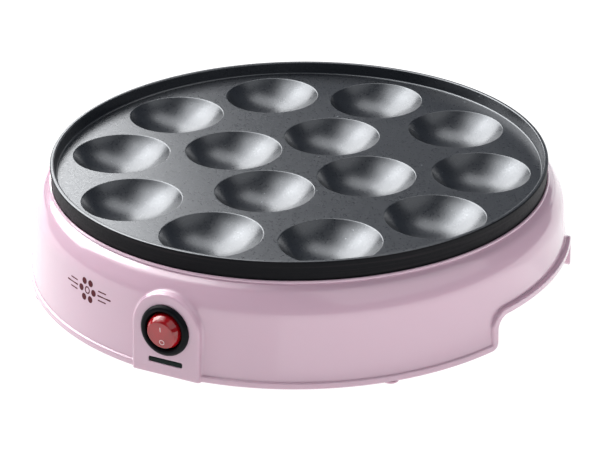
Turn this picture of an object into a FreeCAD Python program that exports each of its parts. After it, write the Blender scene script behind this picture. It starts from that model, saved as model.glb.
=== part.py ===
# Round electric mini-pancake maker: a cast baking plate with fourteen round
# pits in a moulded plastic housing, with its element, control and wiring.
# Frame: millimetres, +Z up, origin on the standing plane under the centre,
# the switch panel faces -Y and the supply lead enters at +Y.
import FreeCAD, Part
import math
import os

V = FreeCAD.Vector
doc = FreeCAD.newDocument("mini_pancake_maker")
sheet = doc.addObject("Spreadsheet::Sheet", "Dims")

# ---------------------------------------------------------------- dimensions
TABLE = [
    ("plate_radius", 114.5), ("plate_face_z", 49.65), ("rim_height", 5.8),
    ("rim_wall", 2.0), ("plate_thick", 3.2), ("skirt_radius", 113.5),
    ("skirt_foot_z", 42.0), ("skirt_wall", 2.6),
    ("pit_radius", 22.5), ("pit_depth", 10.0), ("pit_wall", 2.6),
    ("pit_ring_outer", 84.0), ("pit_ring_inner", 34.4),
    ("pits_outer", 10), ("pits_inner", 4),
    ("lip_radius", 126.5), ("lip_height", 3.1), ("lip_foot_z", 1.5),
    ("skin", 2.2), ("wall_foot_radius", 125.45), ("wall_top_radius", 122.35),
    ("wall_top_z", 36.4), ("brow_radius", 117.9), ("brow_z", 43.4),
    ("crease_radius", 115.1), ("crease_z", 45.0), ("collar_top_z", 46.75),
    ("collar_bore", 114.3), ("ledge_bore", 107.5), ("ledge_thick", 2.2),
    ("grip_half", 43.7), ("grip_top_z", 16.6), ("grip_round", 5.5),
    ("grip_toe_round", 3.4), ("grip_band", 3.0),
    ("panel_y", 125.7), ("panel_z", 22.9), ("panel_tilt", 4.0),
    ("panel_half", 16.3), ("panel_round", 1.1),
    ("switch_hole", 10.1), ("lens_drop", 14.9), ("lens_length", 16.4),
    ("lens_width", 2.4),
    ("foot_ring", 122.7), ("foot_radius", 3.9), ("foot_stem", 1.7),
    ("foot_stem_length", 4.0),
    ("post_ring", 108.0), ("post_radius", 4.2), ("post_foot_z", 8.6),
    ("post_top_z", 30.2),
    ("cover_radius", 122.6), ("cover_z", 2.6), ("cover_thick", 2.0),
    ("well_half", 46.2), ("well_depth_x", 104.0), ("well_roof_z", 17.6),
    ("gland_z", 15.5), ("gland_face_y", 130.2), ("gland_seat_y", 125.4),
    ("gland_bore", 3.6), ("gland_barrel", 6.95),
    ("tray_floor_z", 31.5), ("tray_gauge", 0.8), ("tray_wall_radius", 106.0),
    ("tray_flange_radius", 112.5), ("tray_flange_z", 39.0),
    ("element_ring", 59.2), ("element_z", 41.0), ("element_radius", 3.25),
    ("element_gap_deg", 20.0), ("element_drop_z", 25.0),
    ("plate_boss_ring", 98.0), ("plate_boss_radius", 4.5),
    ("clamp_ring", 50.0), ("clamp_z", 37.7),
    ("stat_ear_ring", 12.5), ("stat_pad_z", 40.0),
    ("bezel_radius", 11.55), ("bezel_height", 2.0), ("barrel_radius", 9.9),
    ("barrel_depth", 14.5), ("rocker_radius", 8.3), ("rocker_bore", 8.6),
    ("rocker_face", 5.2), ("rocker_pivot", 1.5), ("rocker_tilt", 12.0),
    ("arm_pivot", 8.75), ("arm_tilt", 8.0), ("arm_half", 6.4),
    ("blade_width", 4.8), ("blade_gauge", 0.8), ("terminal_pitch", 6.0),
    ("block_y", 95.0), ("block_length", 36.0), ("block_depth", 14.0),
    ("block_height", 12.0), ("block_pitch", 8.0),
    ("wire_radius", 1.1), ("lead_radius", 0.7),
]


class Q:
    """A number together with the sheet expression that gives it."""

    def __init__(self, value, text):
        self.value = float(value)
        self.text = text

    @staticmethod
    def of(other):
        return other if isinstance(other, Q) else Q(other, repr(round(float(other), 6)))

    def _join(self, other, sign, value):
        other = Q.of(other)
        return Q(value, "(%s %s %s)" % (self.text, sign, other.text))

    def __add__(self, o):
        return self._join(o, "+", self.value + Q.of(o).value)

    def __sub__(self, o):
        return self._join(o, "-", self.value - Q.of(o).value)

    def __mul__(self, o):
        return self._join(o, "*", self.value * Q.of(o).value)

    def __truediv__(self, o):
        return self._join(o, "/", self.value / Q.of(o).value)

    def __radd__(self, o):
        return Q.of(o) + self

    def __rsub__(self, o):
        return Q.of(o) - self

    def __rmul__(self, o):
        return Q.of(o) * self

    def __neg__(self):
        return Q(-self.value, "(-1 * %s)" % self.text)


D = {}
for row, (alias, number) in enumerate(TABLE, start=1):
    sheet.set("A%d" % row, alias.replace("_", " "))
    sheet.set("B%d" % row, str(number))
    sheet.setAlias("B%d" % row, alias)
    D[alias] = Q(number, "Dims." + alias)
doc.recompute()


def val(q):
    return q.value if isinstance(q, Q) else float(q)


def bind(obj, prop, q):
    if isinstance(q, Q):
        obj.setExpression(prop, q.text)


# ------------------------------------------------------------ sketch helpers
PLANES = {"XY": "XY_Plane", "XZ": "XZ_Plane", "YZ": "YZ_Plane"}


def new_body(name, label=None):
    body = doc.addObject("PartDesign::Body", name)
    body.Label = label or name
    if hasattr(body, "AllowCompound"):
        body.AllowCompound = True
    return body


def origin_item(body, role):
    for item in body.Origin.OriginFeatures:
        if item.Role == role:
            return item
    raise RuntimeError(role)


def new_sketch(body, name, plane, at=(0, 0, 0), turn=None):
    sk = body.newObject("Sketcher::SketchObject", name)
    sk.AttachmentSupport = [(origin_item(body, PLANES[plane]), "")]
    sk.MapMode = "FlatFace"
    rot = FreeCAD.Rotation()
    if turn is not None:
        rot = FreeCAD.Rotation(V(*turn[0]), val(turn[1]))
    sk.AttachmentOffset = FreeCAD.Placement(V(val(at[0]), val(at[1]), val(at[2])), rot)
    for axis, q in zip("xyz", at):
        bind(sk, "AttachmentOffset.Base." + axis, q)
    return sk


def pin_point(sk, geo, pos, x, y, tag):
    for kind, q, ref in (("DistanceX", x, -2), ("DistanceY", y, -1)):
        if abs(val(q)) < 1e-9:
            sk.addConstraint(sketcher("PointOnObject", geo, pos, ref))
        else:
            n = sk.addConstraint(sketcher(kind, -1, 1, geo, pos, val(q)))
            if isinstance(q, Q):
                sk.renameConstraint(n, "%s_%s" % (tag, kind[-1].lower()))
                sk.setExpression("Constraints.%s_%s" % (tag, kind[-1].lower()), q.text)


def sketcher(*args):
    import Sketcher
    return Sketcher.Constraint(*args)


def polygon(sk, points, tag="p"):
    n = len(points)
    first = sk.GeometryCount
    xy = [V(val(px), val(py), 0) for px, py in points]
    for i in range(n):
        sk.addGeometry(Part.LineSegment(xy[i], xy[(i + 1) % n]), False)
    for i in range(n):
        sk.addConstraint(sketcher("Coincident", first + i, 2, first + (i + 1) % n, 1))
    for i, (px, py) in enumerate(points):
        pin_point(sk, first + i, 1, px, py, "%s%d" % (tag, i))


def circle(sk, x, y, r, tag="c"):
    g = sk.addGeometry(Part.Circle(V(val(x), val(y), 0), V(0, 0, 1), val(r)), False)
    pin_point(sk, g, 3, x, y, tag)
    n = sk.addConstraint(sketcher("Radius", g, val(r)))
    if isinstance(r, Q):
        sk.renameConstraint(n, tag + "_r")
        sk.setExpression("Constraints.%s_r" % tag, r.text)


def arch(sk, half, foot, tag="a"):
    """Closed outline: a half round of radius 'half' over a straight-sided leg."""
    h, f = val(half), val(foot)
    g0 = sk.addGeometry(Part.ArcOfCircle(Part.Circle(V(0, 0, 0), V(0, 0, 1), h), 0, math.pi), False)
    g1 = sk.addGeometry(Part.LineSegment(V(-h, 0, 0), V(-h, f, 0)), False)
    g2 = sk.addGeometry(Part.LineSegment(V(-h, f, 0), V(h, f, 0)), False)
    g3 = sk.addGeometry(Part.LineSegment(V(h, f, 0), V(h, 0, 0)), False)
    sk.addConstraint(sketcher("Coincident", g0, 3, -1, 1))
    sk.addConstraint(sketcher("Tangent", g0, 2, g1, 1))
    sk.addConstraint(sketcher("Coincident", g1, 2, g2, 1))
    sk.addConstraint(sketcher("Coincident", g2, 2, g3, 1))
    sk.addConstraint(sketcher("Tangent", g3, 2, g0, 1))
    sk.addConstraint(sketcher("Vertical", g1))
    sk.addConstraint(sketcher("Vertical", g3))
    sk.addConstraint(sketcher("Horizontal", g2))
    n = sk.addConstraint(sketcher("Radius", g0, h))
    sk.renameConstraint(n, tag + "_r")
    if isinstance(half, Q):
        sk.setExpression("Constraints.%s_r" % tag, half.text)
    n = sk.addConstraint(sketcher("DistanceY", -1, 1, g1, 2, f))
    sk.renameConstraint(n, tag + "_f")
    if isinstance(foot, Q):
        sk.setExpression("Constraints.%s_f" % tag, foot.text)


def feature(body, kind, name, sk, **props):
    f = body.newObject("PartDesign::" + kind, name)
    f.Profile = (sk, [""])
    for key, value in props.items():
        if isinstance(value, Q):
            setattr(f, key, value.value)
            f.setExpression(key, value.text)
        else:
            setattr(f, key, value)
    return f


def revolve(body, name, sk, cut=False):
    return feature(body, "Groove" if cut else "Revolution", name, sk,
                   ReferenceAxis=(sk, ["V_Axis"]), Angle=360.0)


def polar(body, name, feat, count, angle=360.0):
    p = body.newObject("PartDesign::PolarPattern", name)
    p.Originals = feat if isinstance(feat, list) else [feat]
    p.Axis = (origin_item(body, "Z_Axis"), [""])
    p.Angle = angle
    if isinstance(count, Q):
        p.Occurrences = int(count.value)
        p.setExpression("Occurrences", count.text)
    else:
        p.Occurrences = count
    body.Tip = p
    return p


FACES = {}


def volume_step(body, label, before, sign):
    """Stop if a feature left its body as it was (wrong direction, no overlap)."""
    doc.recompute()
    after = body.Shape.Volume
    faces = len(body.Shape.Faces)
    small = abs(after - before) < 0.005 * abs(before)
    moved = (after - before) * sign > 1e-6 or (small and faces != FACES.get(body.Name, 0))
    if not moved:
        raise RuntimeError("%s changed nothing: %.3f -> %.3f" % (label, before, after))
    FACES[body.Name] = faces
    return after


def circle_edges(shape, radius, z=None, tol=0.02):
    names = []
    for i, e in enumerate(shape.Edges, start=1):
        try:
            curve = e.Curve
        except TypeError:
            continue
        if isinstance(curve, Part.Circle) and abs(curve.Radius - radius) < tol:
            if z is None or abs(curve.Center.z - z) < tol:
                names.append("Edge%d" % i)
    return names


def round_edges(body, name, base, names, radius):
    if not names:
        raise RuntimeError("no edges for " + name)
    f = body.newObject("PartDesign::Fillet", name)
    f.Base = (base, names)
    if isinstance(radius, Q):
        f.Radius = radius.value
        f.setExpression("Radius", radius.text)
    else:
        f.Radius = radius
    doc.recompute()
    return f


# -------------------------------------------------------- primitive helpers
def place(obj, at=(0, 0, 0), rot=None, frame=None):
    local = FreeCAD.Placement(V(*[val(a) for a in at]), rot or FreeCAD.Rotation())
    obj.Placement = frame.multiply(local) if frame else local
    if frame is None:
        for axis, q in zip("xyz", at):
            bind(obj, "Placement.Base." + axis, q)
    return obj


def box(name, size, at, rot=None, frame=None):
    b = doc.addObject("Part::Box", name)
    for prop, q in zip(("Length", "Width", "Height"), size):
        setattr(b, prop, val(q))
        bind(b, prop, q)
    return place(b, at, rot, frame)


def rod(name, r, h, at, rot=None, frame=None):
    c = doc.addObject("Part::Cylinder", name)
    c.Radius = val(r)
    c.Height = val(h)
    bind(c, "Radius", r)
    bind(c, "Height", h)
    return place(c, at, rot, frame)


def fuse(name, items):
    f = doc.addObject("Part::MultiFuse", name)
    f.Shapes = items
    return f


def cut(name, base, tool):
    c = doc.addObject("Part::Cut", name)
    c.Base = base
    c.Tool = tool
    return c


def group(name, items):
    g = doc.addObject("Part::Compound", name)
    g.Links = items
    return g


ALONG_X = FreeCAD.Rotation(V(0, 1, 0), 90)
ALONG_Y = FreeCAD.Rotation(V(1, 0, 0), -90)
NODES = {}


def node(label, obj):
    obj.Label = label
    NODES[label] = obj
    return obj


d = D
S45 = math.sqrt(0.5)
PANEL = FreeCAD.Placement(V(0, -val(d["panel_y"]), val(d["panel_z"])),
                          FreeCAD.Rotation(V(1, 0, 0), 90.0 - val(d["panel_tilt"])))

# ================================================================== housing
hb = new_body("housing_core")
sk = new_sketch(hb, "housing_outline", "XZ")
lip_top = d["lip_foot_z"] + d["lip_height"]
polygon(sk, [
    (0, d["lip_foot_z"]),
    (d["lip_radius"], d["lip_foot_z"]),
    (d["lip_radius"] - 0.05, lip_top),
    (d["wall_foot_radius"], lip_top),
    (d["wall_top_radius"], d["wall_top_z"]),
    (d["brow_radius"], d["brow_z"]),
    (d["crease_radius"], d["crease_z"]),
    (d["crease_radius"] - 0.45, d["crease_z"] + 0.35),
    (d["crease_radius"] + 0.15, d["crease_z"] + 0.85),
    (d["crease_radius"] + 0.1, d["collar_top_z"] - 0.45),
    (d["crease_radius"] - 0.3, d["collar_top_z"]),
    (0, d["collar_top_z"]),
])
outer = revolve(hb, "housing_solid", sk)
doc.recompute()
f = round_edges(hb, "shoulder_round", outer,
                circle_edges(outer.Shape, val(d["wall_top_radius"]), val(d["wall_top_z"])), 20.0)
f = round_edges(hb, "brow_round", f,
                circle_edges(f.Shape, val(d["brow_radius"]), val(d["brow_z"])), 8.0)
f = round_edges(hb, "lip_round", f,
                circle_edges(f.Shape, val(d["lip_radius"]) - 0.05, val(lip_top))
                + circle_edges(f.Shape, val(d["lip_radius"]), val(d["lip_foot_z"])), 0.7)

# raised switch panel: a flat, slightly leaning face with a half-round head
panel_at = (0, d["panel_z"], d["panel_y"])
lean = ((-1, 0, 0), d["panel_tilt"])
sk = new_sketch(hb, "panel_outline", "XZ", panel_at, lean)
arch(sk, d["panel_half"], -21.45)
panel = feature(hb, "Pad", "panel", sk, Length=16.0, Reversed=True)
doc.recompute()
face_edges = []
n_out = V(0, -math.cos(math.radians(val(d["panel_tilt"]))), math.sin(math.radians(val(d["panel_tilt"]))))
p_face = V(0, -val(d["panel_y"]), val(d["panel_z"]))
for i, e in enumerate(panel.Shape.Edges, start=1):
    mids = [e.valueAt(e.FirstParameter + t * (e.LastParameter - e.FirstParameter)) for t in (0.1, 0.5, 0.9)]
    if all(abs((m - p_face).dot(n_out)) < 0.01 for m in mids) and max(m.z for m in mids) > 3.0:
        face_edges.append("Edge%d" % i)
panel_soft = round_edges(hb, "panel_edge_round", panel, face_edges, d["panel_round"])

# everything below the lip's standing edge is trimmed level
sk = new_sketch(hb, "trim_outline", "XZ")
polygon(sk, [(0, -6), (150, -6), (150, d["lip_foot_z"]), (0, d["lip_foot_z"])])
vol = hb.Shape.Volume
revolve(hb, "trim", sk, cut=True)

# hollow inside with the annular ledge that the plate's skirt stands on
sk = new_sketch(hb, "hollow_outline", "XZ")
polygon(sk, [
    (0, -2),
    (d["wall_foot_radius"] - d["skin"] + 0.4, -2),
    (d["wall_foot_radius"] - d["skin"] + 0.3, d["lip_foot_z"]),
    (d["wall_top_radius"] - d["skin"] - 0.2, d["wall_top_z"] - 1.2),
    (d["brow_radius"] - d["skin"] + 0.3, d["skirt_foot_z"] - d["ledge_thick"]),
    (d["ledge_bore"], d["skirt_foot_z"] - d["ledge_thick"]),
    (d["ledge_bore"], d["skirt_foot_z"]),
    (d["collar_bore"] - 0.4, d["skirt_foot_z"]),
    (d["collar_bore"], d["collar_top_z"]),
    (d["collar_bore"], d["collar_top_z"] + 3),
    (0, d["collar_top_z"] + 3),
])
doc.recompute()
vol = hb.Shape.Volume
revolve(hb, "hollow", sk, cut=True)
vol = volume_step(hb, "hollow", vol, -1)

# even wall behind the panel
sk = new_sketch(hb, "panel_back_outline", "XZ",
                (0, d["panel_z"] - 0.155, d["panel_y"] - d["skin"]), lean)
arch(sk, d["panel_half"] - d["skin"], -24.0)
feature(hb, "Pocket", "panel_back", sk, Length=9.0)
vol = volume_step(hb, "panel back", vol, -1)

# switch hole and indicator slot
sk = new_sketch(hb, "switch_hole_outline", "XZ", (0, d["panel_z"], d["panel_y"] + 1.0), lean)
circle(sk, 0, 0, d["switch_hole"])
feature(hb, "Pocket", "switch_hole_cut", sk, Length=10.0)
vol = volume_step(hb, "switch hole", vol, -1)
sk = new_sketch(hb, "lens_slot_outline", "XZ", (0, d["panel_z"], d["panel_y"] + 1.0), lean)
hl, hw = d["lens_length"] / 2, d["lens_width"] / 2
polygon(sk, [(-hl, -d["lens_drop"] - hw), (hl, -d["lens_drop"] - hw),
             (hl, -d["lens_drop"] + hw), (-hl, -d["lens_drop"] + hw)])
feature(hb, "Pocket", "lens_slot_cut", sk, Length=10.0)
vol = volume_step(hb, "lens slot", vol, -1)

# four screw posts with gussets to the wall
post_sk = new_sketch(hb, "post_outline", "XY", (0, 0, d["post_foot_z"]), ((0, 0, 1), 45.0))
circle(post_sk, d["post_ring"], 0, d["post_radius"])
post = feature(hb, "Pad", "post", post_sk, Length=d["post_top_z"] - d["post_foot_z"])
gus_sk = new_sketch(hb, "gusset_outline", "XY", (0, 0, d["post_foot_z"] + 5), ((0, 0, 1), 45.0))
polygon(gus_sk, [(d["post_ring"], -1.0), (d["wall_top_radius"] - 0.6, -1.0),
                 (d["wall_top_radius"] - 0.6, 1.0), (d["post_ring"], 1.0)])
gusset = feature(hb, "Pad", "gusset", gus_sk, Length=d["post_top_z"] - d["post_foot_z"] - 5)
socket_sk = new_sketch(hb, "foot_socket_outline", "XY", (0, 0, d["lip_foot_z"]), ((0, 0, 1), 45.0))
circle(socket_sk, d["foot_ring"] - 1.6, 0, 5.0)
socket = feature(hb, "Pad", "foot_socket", socket_sk, Length=6.5)
vol = volume_step(hb, "posts", vol, 1)
polar(hb, "posts", [post, gusset, socket], 4)
vol = volume_step(hb, "post pattern", vol, 1)
pil_sk = new_sketch(hb, "pilot_outline", "XY", (0, 0, d["post_foot_z"]), ((0, 0, 1), 45.0))
circle(pil_sk, d["post_ring"], 0, 1.55)
pilot = feature(hb, "Pocket", "pilot", pil_sk, Length=13.0, Reversed=True)
fs_sk = new_sketch(hb, "foot_hole_outline", "XY", (0, 0, d["lip_foot_z"]), ((0, 0, 1), 45.0))
circle(fs_sk, d["foot_ring"], 0, d["foot_stem"] + 0.05)
fhole = feature(hb, "Pocket", "foot_hole", fs_sk, Length=d["foot_stem_length"] + 0.3, Reversed=True)
vol = volume_step(hb, "pilot", vol, -1)
polar(hb, "pilots", [pilot, fhole], 4)
vol = volume_step(hb, "pilot pattern", vol, -1)

# flat seat for the lead bushing in the rear wall
seat_sk = new_sketch(hb, "bushing_seat_outline", "XZ", (0, 0, -d["gland_seat_y"]))
circle(seat_sk, 0, d["gland_z"], 10.2)
feature(hb, "Pad", "bushing_seat", seat_sk, Length=4.4)
vol = volume_step(hb, "bushing seat", vol, 1)
hole_sk = new_sketch(hb, "bushing_hole_outline", "XZ", (0, 0, -d["gland_seat_y"] - 1))
circle(hole_sk, 0, d["gland_z"], d["gland_barrel"] + 0.05)
feature(hb, "Pocket", "bushing_hole", hole_sk, Length=8.0, Reversed=True)
vol = volume_step(hb, "bushing hole", vol, -1)

# hand grips: arched cut-outs in both sides, each edged by the raised lip
band_ring = new_body("grip_band_ring")
sk = new_sketch(band_ring, "band_outline", "XZ")
polygon(sk, [(d["wall_foot_radius"] - d["skin"] + 0.3, d["lip_foot_z"] + 1.0),
             (d["lip_radius"] - 0.03, d["lip_foot_z"] + 1.0),
             (d["lip_radius"] - 0.35, 24.0),
             (d["wall_foot_radius"] - d["skin"] - 1.8, 24.0)])
revolve(band_ring, "band_ring", sk)


def grip_tool(name, grow):
    body = new_body(name)
    sk = new_sketch(body, name + "_outline", "YZ")
    h, top, toe = d["grip_half"] + grow, d["grip_top_z"] + grow, d["lip_foot_z"] + grow
    polygon(sk, [(h + 22, -4), (h + 22, toe), (h, toe), (h, top),
                 (-h, top), (-h, toe), (-h - 22, toe), (-h - 22, -4)])
    pad = feature(body, "Pad", name + "_pad", sk, Length=300.0, Midplane=True)
    doc.recompute()
    tops, toes = [], []
    for i, e in enumerate(pad.Shape.Edges, start=1):
        a, b = e.Vertexes[0].Point, e.Vertexes[-1].Point
        if abs(a.x - b.x) > 200 and abs(abs(a.y) - val(h)) < 0.01:
            (tops if abs(a.z - val(top)) < 0.01 else toes).append("Edge%d" % i)
    f = round_edges(body, name + "_round", pad, tops, d["grip_round"] + grow)
    toes = []
    for i, e in enumerate(f.Shape.Edges, start=1):
        a, b = e.Vertexes[0].Point, e.Vertexes[-1].Point
        if abs(a.x - b.x) > 200 and abs(abs(a.y) - val(h)) < 0.01 and abs(a.z - val(toe)) < 0.01:
            toes.append("Edge%d" % i)
    round_edges(body, name + "_toe", f, toes, d["grip_toe_round"] - grow)
    return body


grip_cut = grip_tool("grip_cut", Q.of(0.0))
grip_edge = grip_tool("grip_edge", d["grip_band"])
band = doc.addObject("Part::Common", "grip_band")
band.Base = band_ring
band.Tool = grip_edge
whole = fuse("housing_with_band", [hb, band])
housing = node("housing", cut("housing_shell", whole, grip_cut))

# ================================================================ base cover
cb = new_body("base_cover_body")
sk = new_sketch(cb, "cover_outline", "XZ")
polygon(sk, [(0, d["cover_z"]), (d["cover_radius"], d["cover_z"]),
             (d["cover_radius"], d["cover_z"] + d["cover_thick"]), (0, d["cover_z"] + d["cover_thick"])])
revolve(cb, "cover_disc", sk)
# finger wells: raised boxes that close the space behind each grip
for side, sgn in (("right", 1), ("left", -1)):
    sk = new_sketch(cb, "well_%s_outline" % side, "XY", (0, 0, d["cover_z"]))
    x0, x1 = (d["well_depth_x"] - 2.0) * sgn, 130.0 * sgn
    w = d["well_half"] + 2.0
    polygon(sk, [(x0, -w), (x1, -w), (x1, w), (x0, w)])
    feature(cb, "Pad", "well_%s" % side, sk, Length=d["well_roof_z"] + 2.0 - d["cover_z"])
for side, sgn in (("right", 1), ("left", -1)):
    sk = new_sketch(cb, "well_%s_void_outline" % side, "XY", (0, 0, d["cover_z"] - 1))
    w = d["well_half"]
    x0, x1 = d["well_depth_x"] * sgn, 140.0 * sgn
    polygon(sk, [(x0, -w), (x1, -w), (x1, w), (x0, w)])
    feature(cb, "Pocket", "well_%s_void" % side, sk, Length=d["well_roof_z"] - d["cover_z"] + 1, Reversed=True)
# the wells' outer edges follow the inside of the housing wall
sk = new_sketch(cb, "rim_trim_outline", "XZ")
polygon(sk, [(d["cover_radius"], -2), (150, -2), (150, 30), (d["cover_radius"] - 2.4, 30)])
revolve(cb, "rim_trim", sk, cut=True)
doc.recompute()
vol = cb.Shape.Volume
# recessed screw cups
cup_sk = new_sketch(cb, "cup_outline", "XY", (0, 0, d["cover_z"]), ((0, 0, 1), 45.0))
circle(cup_sk, d["post_ring"], 0, 6.6)
cup = feature(cb, "Pad", "cup", cup_sk, Length=d["post_foot_z"] - d["cover_z"])
vol = volume_step(cb, "cups", vol, 1)
polar(cb, "cups", cup, 4)
cupv_sk = new_sketch(cb, "cup_void_outline", "XY", (0, 0, d["cover_z"] - 1), ((0, 0, 1), 45.0))
circle(cupv_sk, d["post_ring"], 0, 4.6)
cupv = feature(cb, "Pocket", "cup_void", cupv_sk, Length=d["post_foot_z"] - d["cover_z"] - 1.0, Reversed=True)
hole_sk = new_sketch(cb, "cup_hole_outline", "XY", (0, 0, d["cover_z"] - 1), ((0, 0, 1), 45.0))
circle(hole_sk, d["post_ring"], 0, 2.15)
cuph = feature(cb, "Pocket", "cup_hole", hole_sk, Length=20.0, Reversed=True)
nt_sk = new_sketch(cb, "foot_notch_outline", "XY", (0, 0, d["cover_z"] - 1), ((0, 0, 1), 45.0))
circle(nt_sk, d["foot_ring"] - 1.6, 0, 5.4)
notch = feature(cb, "Pocket", "foot_notch", nt_sk, Length=10.0, Reversed=True)
doc.recompute()
vol = cb.Shape.Volume
polar(cb, "cup_voids", [cupv, cuph, notch], 4)
vol = volume_step(cb, "cup voids", vol, -1)
# cooling slots
vs_sk = new_sketch(cb, "vent_outline", "XY", (0, 0, d["cover_z"] - 1))
polygon(vs_sk, [(40, -1.5), (58, -1.5), (58, 1.5), (40, 1.5)])
vent = feature(cb, "Pocket", "vent", vs_sk, Length=10.0, Reversed=True)
polar(cb, "vents", vent, 16)
vs_sk = new_sketch(cb, "vent_inner_outline", "XY", (0, 0, d["cover_z"] - 1))
polygon(vs_sk, [(18, -1.5), (30, -1.5), (30, 1.5), (18, 1.5)])
vent2 = feature(cb, "Pocket", "vent_inner", vs_sk, Length=10.0, Reversed=True)
polar(cb, "vents_inner", vent2, 8)
vol = volume_step(cb, "vents", vol, -1)
node("base_cover", cb)


# ---------------------------------------------------- screws made by revolving
def turned(name, profile, ring, count, start_deg):
    body = new_body(name + "_body")
    sk = new_sketch(body, name + "_outline", "XZ", (ring, 0, 0))
    polygon(sk, profile)
    r = revolve(body, name + "_turned", sk)
    if count > 1:
        polar(body, name + "_set", r, count)
    body.Placement = FreeCAD.Placement(V(0, 0, 0), FreeCAD.Rotation(V(0, 0, 1), start_deg))
    return node(name, body)


def screw_outline(z, head_r, head_h, shank_r, length):
    """Pan head below z with a plain driver recess, shank rising above z."""
    return [(0, z - head_h + 1.1), (head_r * 0.36, z - head_h + 1.1), (head_r * 0.36, z - head_h),
            (head_r * 0.72, z - head_h), (head_r, z - head_h * 0.45), (head_r, z),
            (shank_r, z), (shank_r, z + length - 0.8), (shank_r - 0.7, z + length), (0, z + length)]


turned("base_screws", screw_outline(d["post_foot_z"] - 2.0, 3.6, 2.3, 1.5, 13.0),
       d["post_ring"], 4, 45.0)

# ============================================================== baking plate
pb = new_body("baking_plate_body")
sk = new_sketch(pb, "plate_outline", "XZ")
under = d["plate_face_z"] - d["plate_thick"]
rim_top = d["plate_face_z"] + d["rim_height"]
rin = d["skirt_radius"] - d["skirt_wall"]
polygon(sk, [
    (0, under), (rin, under), (rin, d["skirt_foot_z"]),
    (d["skirt_radius"], d["skirt_foot_z"]),
    (d["plate_radius"] - 0.55, d["collar_top_z"]),
    (d["plate_radius"], rim_top),
    (d["plate_radius"] - d["rim_wall"], rim_top),
    (d["plate_radius"] - d["rim_wall"] - 0.7, d["plate_face_z"]),
    (0, d["plate_face_z"]),
])
blank = revolve(pb, "plate_blank", sk)
doc.recompute()
f = round_edges(pb, "rim_round", blank,
                circle_edges(blank.Shape, val(d["plate_radius"]), val(rim_top))
                + circle_edges(blank.Shape, val(d["plate_radius"] - d["rim_wall"]), val(rim_top)), 0.7)
f = round_edges(pb, "floor_round", f,
                circle_edges(f.Shape, val(d["plate_radius"] - d["rim_wall"]) - 0.7, val(d["plate_face_z"])), 1.2)

# pits: dished bowls, hollow above and round below
pr, pd = val(d["pit_radius"]), val(d["pit_depth"])
ball = (d["pit_radius"] * d["pit_radius"] + d["pit_depth"] * d["pit_depth"]) / (2.0 * d["pit_depth"])
ball_z = d["plate_face_z"] - d["pit_depth"] + ball


def sphere_feature(kind, name, radius, ring, top_z):
    s = pb.newObject("PartDesign::" + kind, name)
    s.Radius = val(radius)
    s.setExpression("Radius", Q.of(radius).text)
    s.Angle1 = -90.0
    s.Angle2 = math.degrees(math.asin((val(top_z) - val(ball_z)) / val(radius)))
    s.Angle3 = 360.0
    s.AttachmentSupport = [(origin_item(pb, "XY_Plane"), "")]
    s.MapMode = "FlatFace"
    s.AttachmentOffset = FreeCAD.Placement(V(0, -val(ring), val(ball_z)), FreeCAD.Rotation())
    s.setExpression("AttachmentOffset.Base.y", (-ring).text)
    s.setExpression("AttachmentOffset.Base.z", ball_z.text)
    return s


doc.recompute()
vol = pb.Shape.Volume
for tag, ring, count in (("outer", d["pit_ring_outer"], d["pits_outer"]),
                         ("inner", d["pit_ring_inner"], d["pits_inner"])):
    b = sphere_feature("AdditiveSphere", "bowl_" + tag, ball + d["pit_wall"], ring, under + 1.2)
    vol = volume_step(pb, "bowl " + tag, vol, 1)
    polar(pb, "bowls_" + tag, b, count)
    vol = volume_step(pb, "bowls " + tag, vol, 1)


# bosses on the underside
def boss(name, ring, radius, foot_z, count, deg):
    sk = new_sketch(pb, name + "_outline", "XY", (0, 0, foot_z), ((0, 0, 1), deg))
    circle(sk, ring, 0, radius)
    p = feature(pb, "Pad", name, sk, Length=under + 0.6 - foot_z)
    if count > 1:
        polar(pb, name + "_set", p, count)


seat_ring = new_sketch(pb, "element_seat_outline", "XZ")
polygon(seat_ring, [(d["element_ring"] - 5, d["element_z"]), (d["element_ring"] + 5, d["element_z"]),
                    (d["element_ring"] + 5, under + 0.6), (d["element_ring"] - 5, under + 0.6)])
revolve(pb, "element_seat", seat_ring)
boss("sensor_pad", Q.of(0.0), 8.5, d["stat_pad_z"], 1, 0)
boss("sensor_boss", d["stat_ear_ring"], 3.2, d["stat_pad_z"] - 2.0, 2, 45)
boss("fixing_boss", d["plate_boss_ring"], d["plate_boss_radius"],
     d["tray_floor_z"] + d["tray_gauge"], 5, 0)
boss("clamp_boss", d["clamp_ring"], 3.2, d["clamp_z"], 4, 45)
vol = volume_step(pb, "bosses", vol, 1)

# hollows of the pits
for tag, ring, count in (("outer", d["pit_ring_outer"], d["pits_outer"]),
                         ("inner", d["pit_ring_inner"], d["pits_inner"])):
    b = sphere_feature("SubtractiveSphere", "pit_" + tag, ball, ring, d["plate_face_z"] + 0.6)
    vol = volume_step(pb, "pit " + tag, vol, -1)
    polar(pb, "pits_" + tag, b, count)
    vol = volume_step(pb, "pits " + tag, vol, -1)
f = pb.Tip
pit_edges = circle_edges(f.Shape, pr, val(d["plate_face_z"]), 0.05)
round_edges(pb, "pit_edge_round", f, pit_edges, 0.8)

# groove that beds the element, and the threaded holes
sk = new_sketch(pb, "element_groove_outline", "XZ")
circle(sk, d["element_ring"], d["element_z"], d["element_radius"] + 0.05)
doc.recompute()
vol = pb.Shape.Volume
revolve(pb, "element_groove", sk, cut=True)
vol = volume_step(pb, "element groove", vol, -1)


def tapped(name, ring, radius, foot_z, depth, count, deg):
    sk = new_sketch(pb, name + "_outline", "XY", (0, 0, foot_z), ((0, 0, 1), deg))
    circle(sk, ring, 0, radius)
    p = feature(pb, "Pocket", name, sk, Length=depth, Reversed=True)
    polar(pb, name + "_set", p, count)


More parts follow.
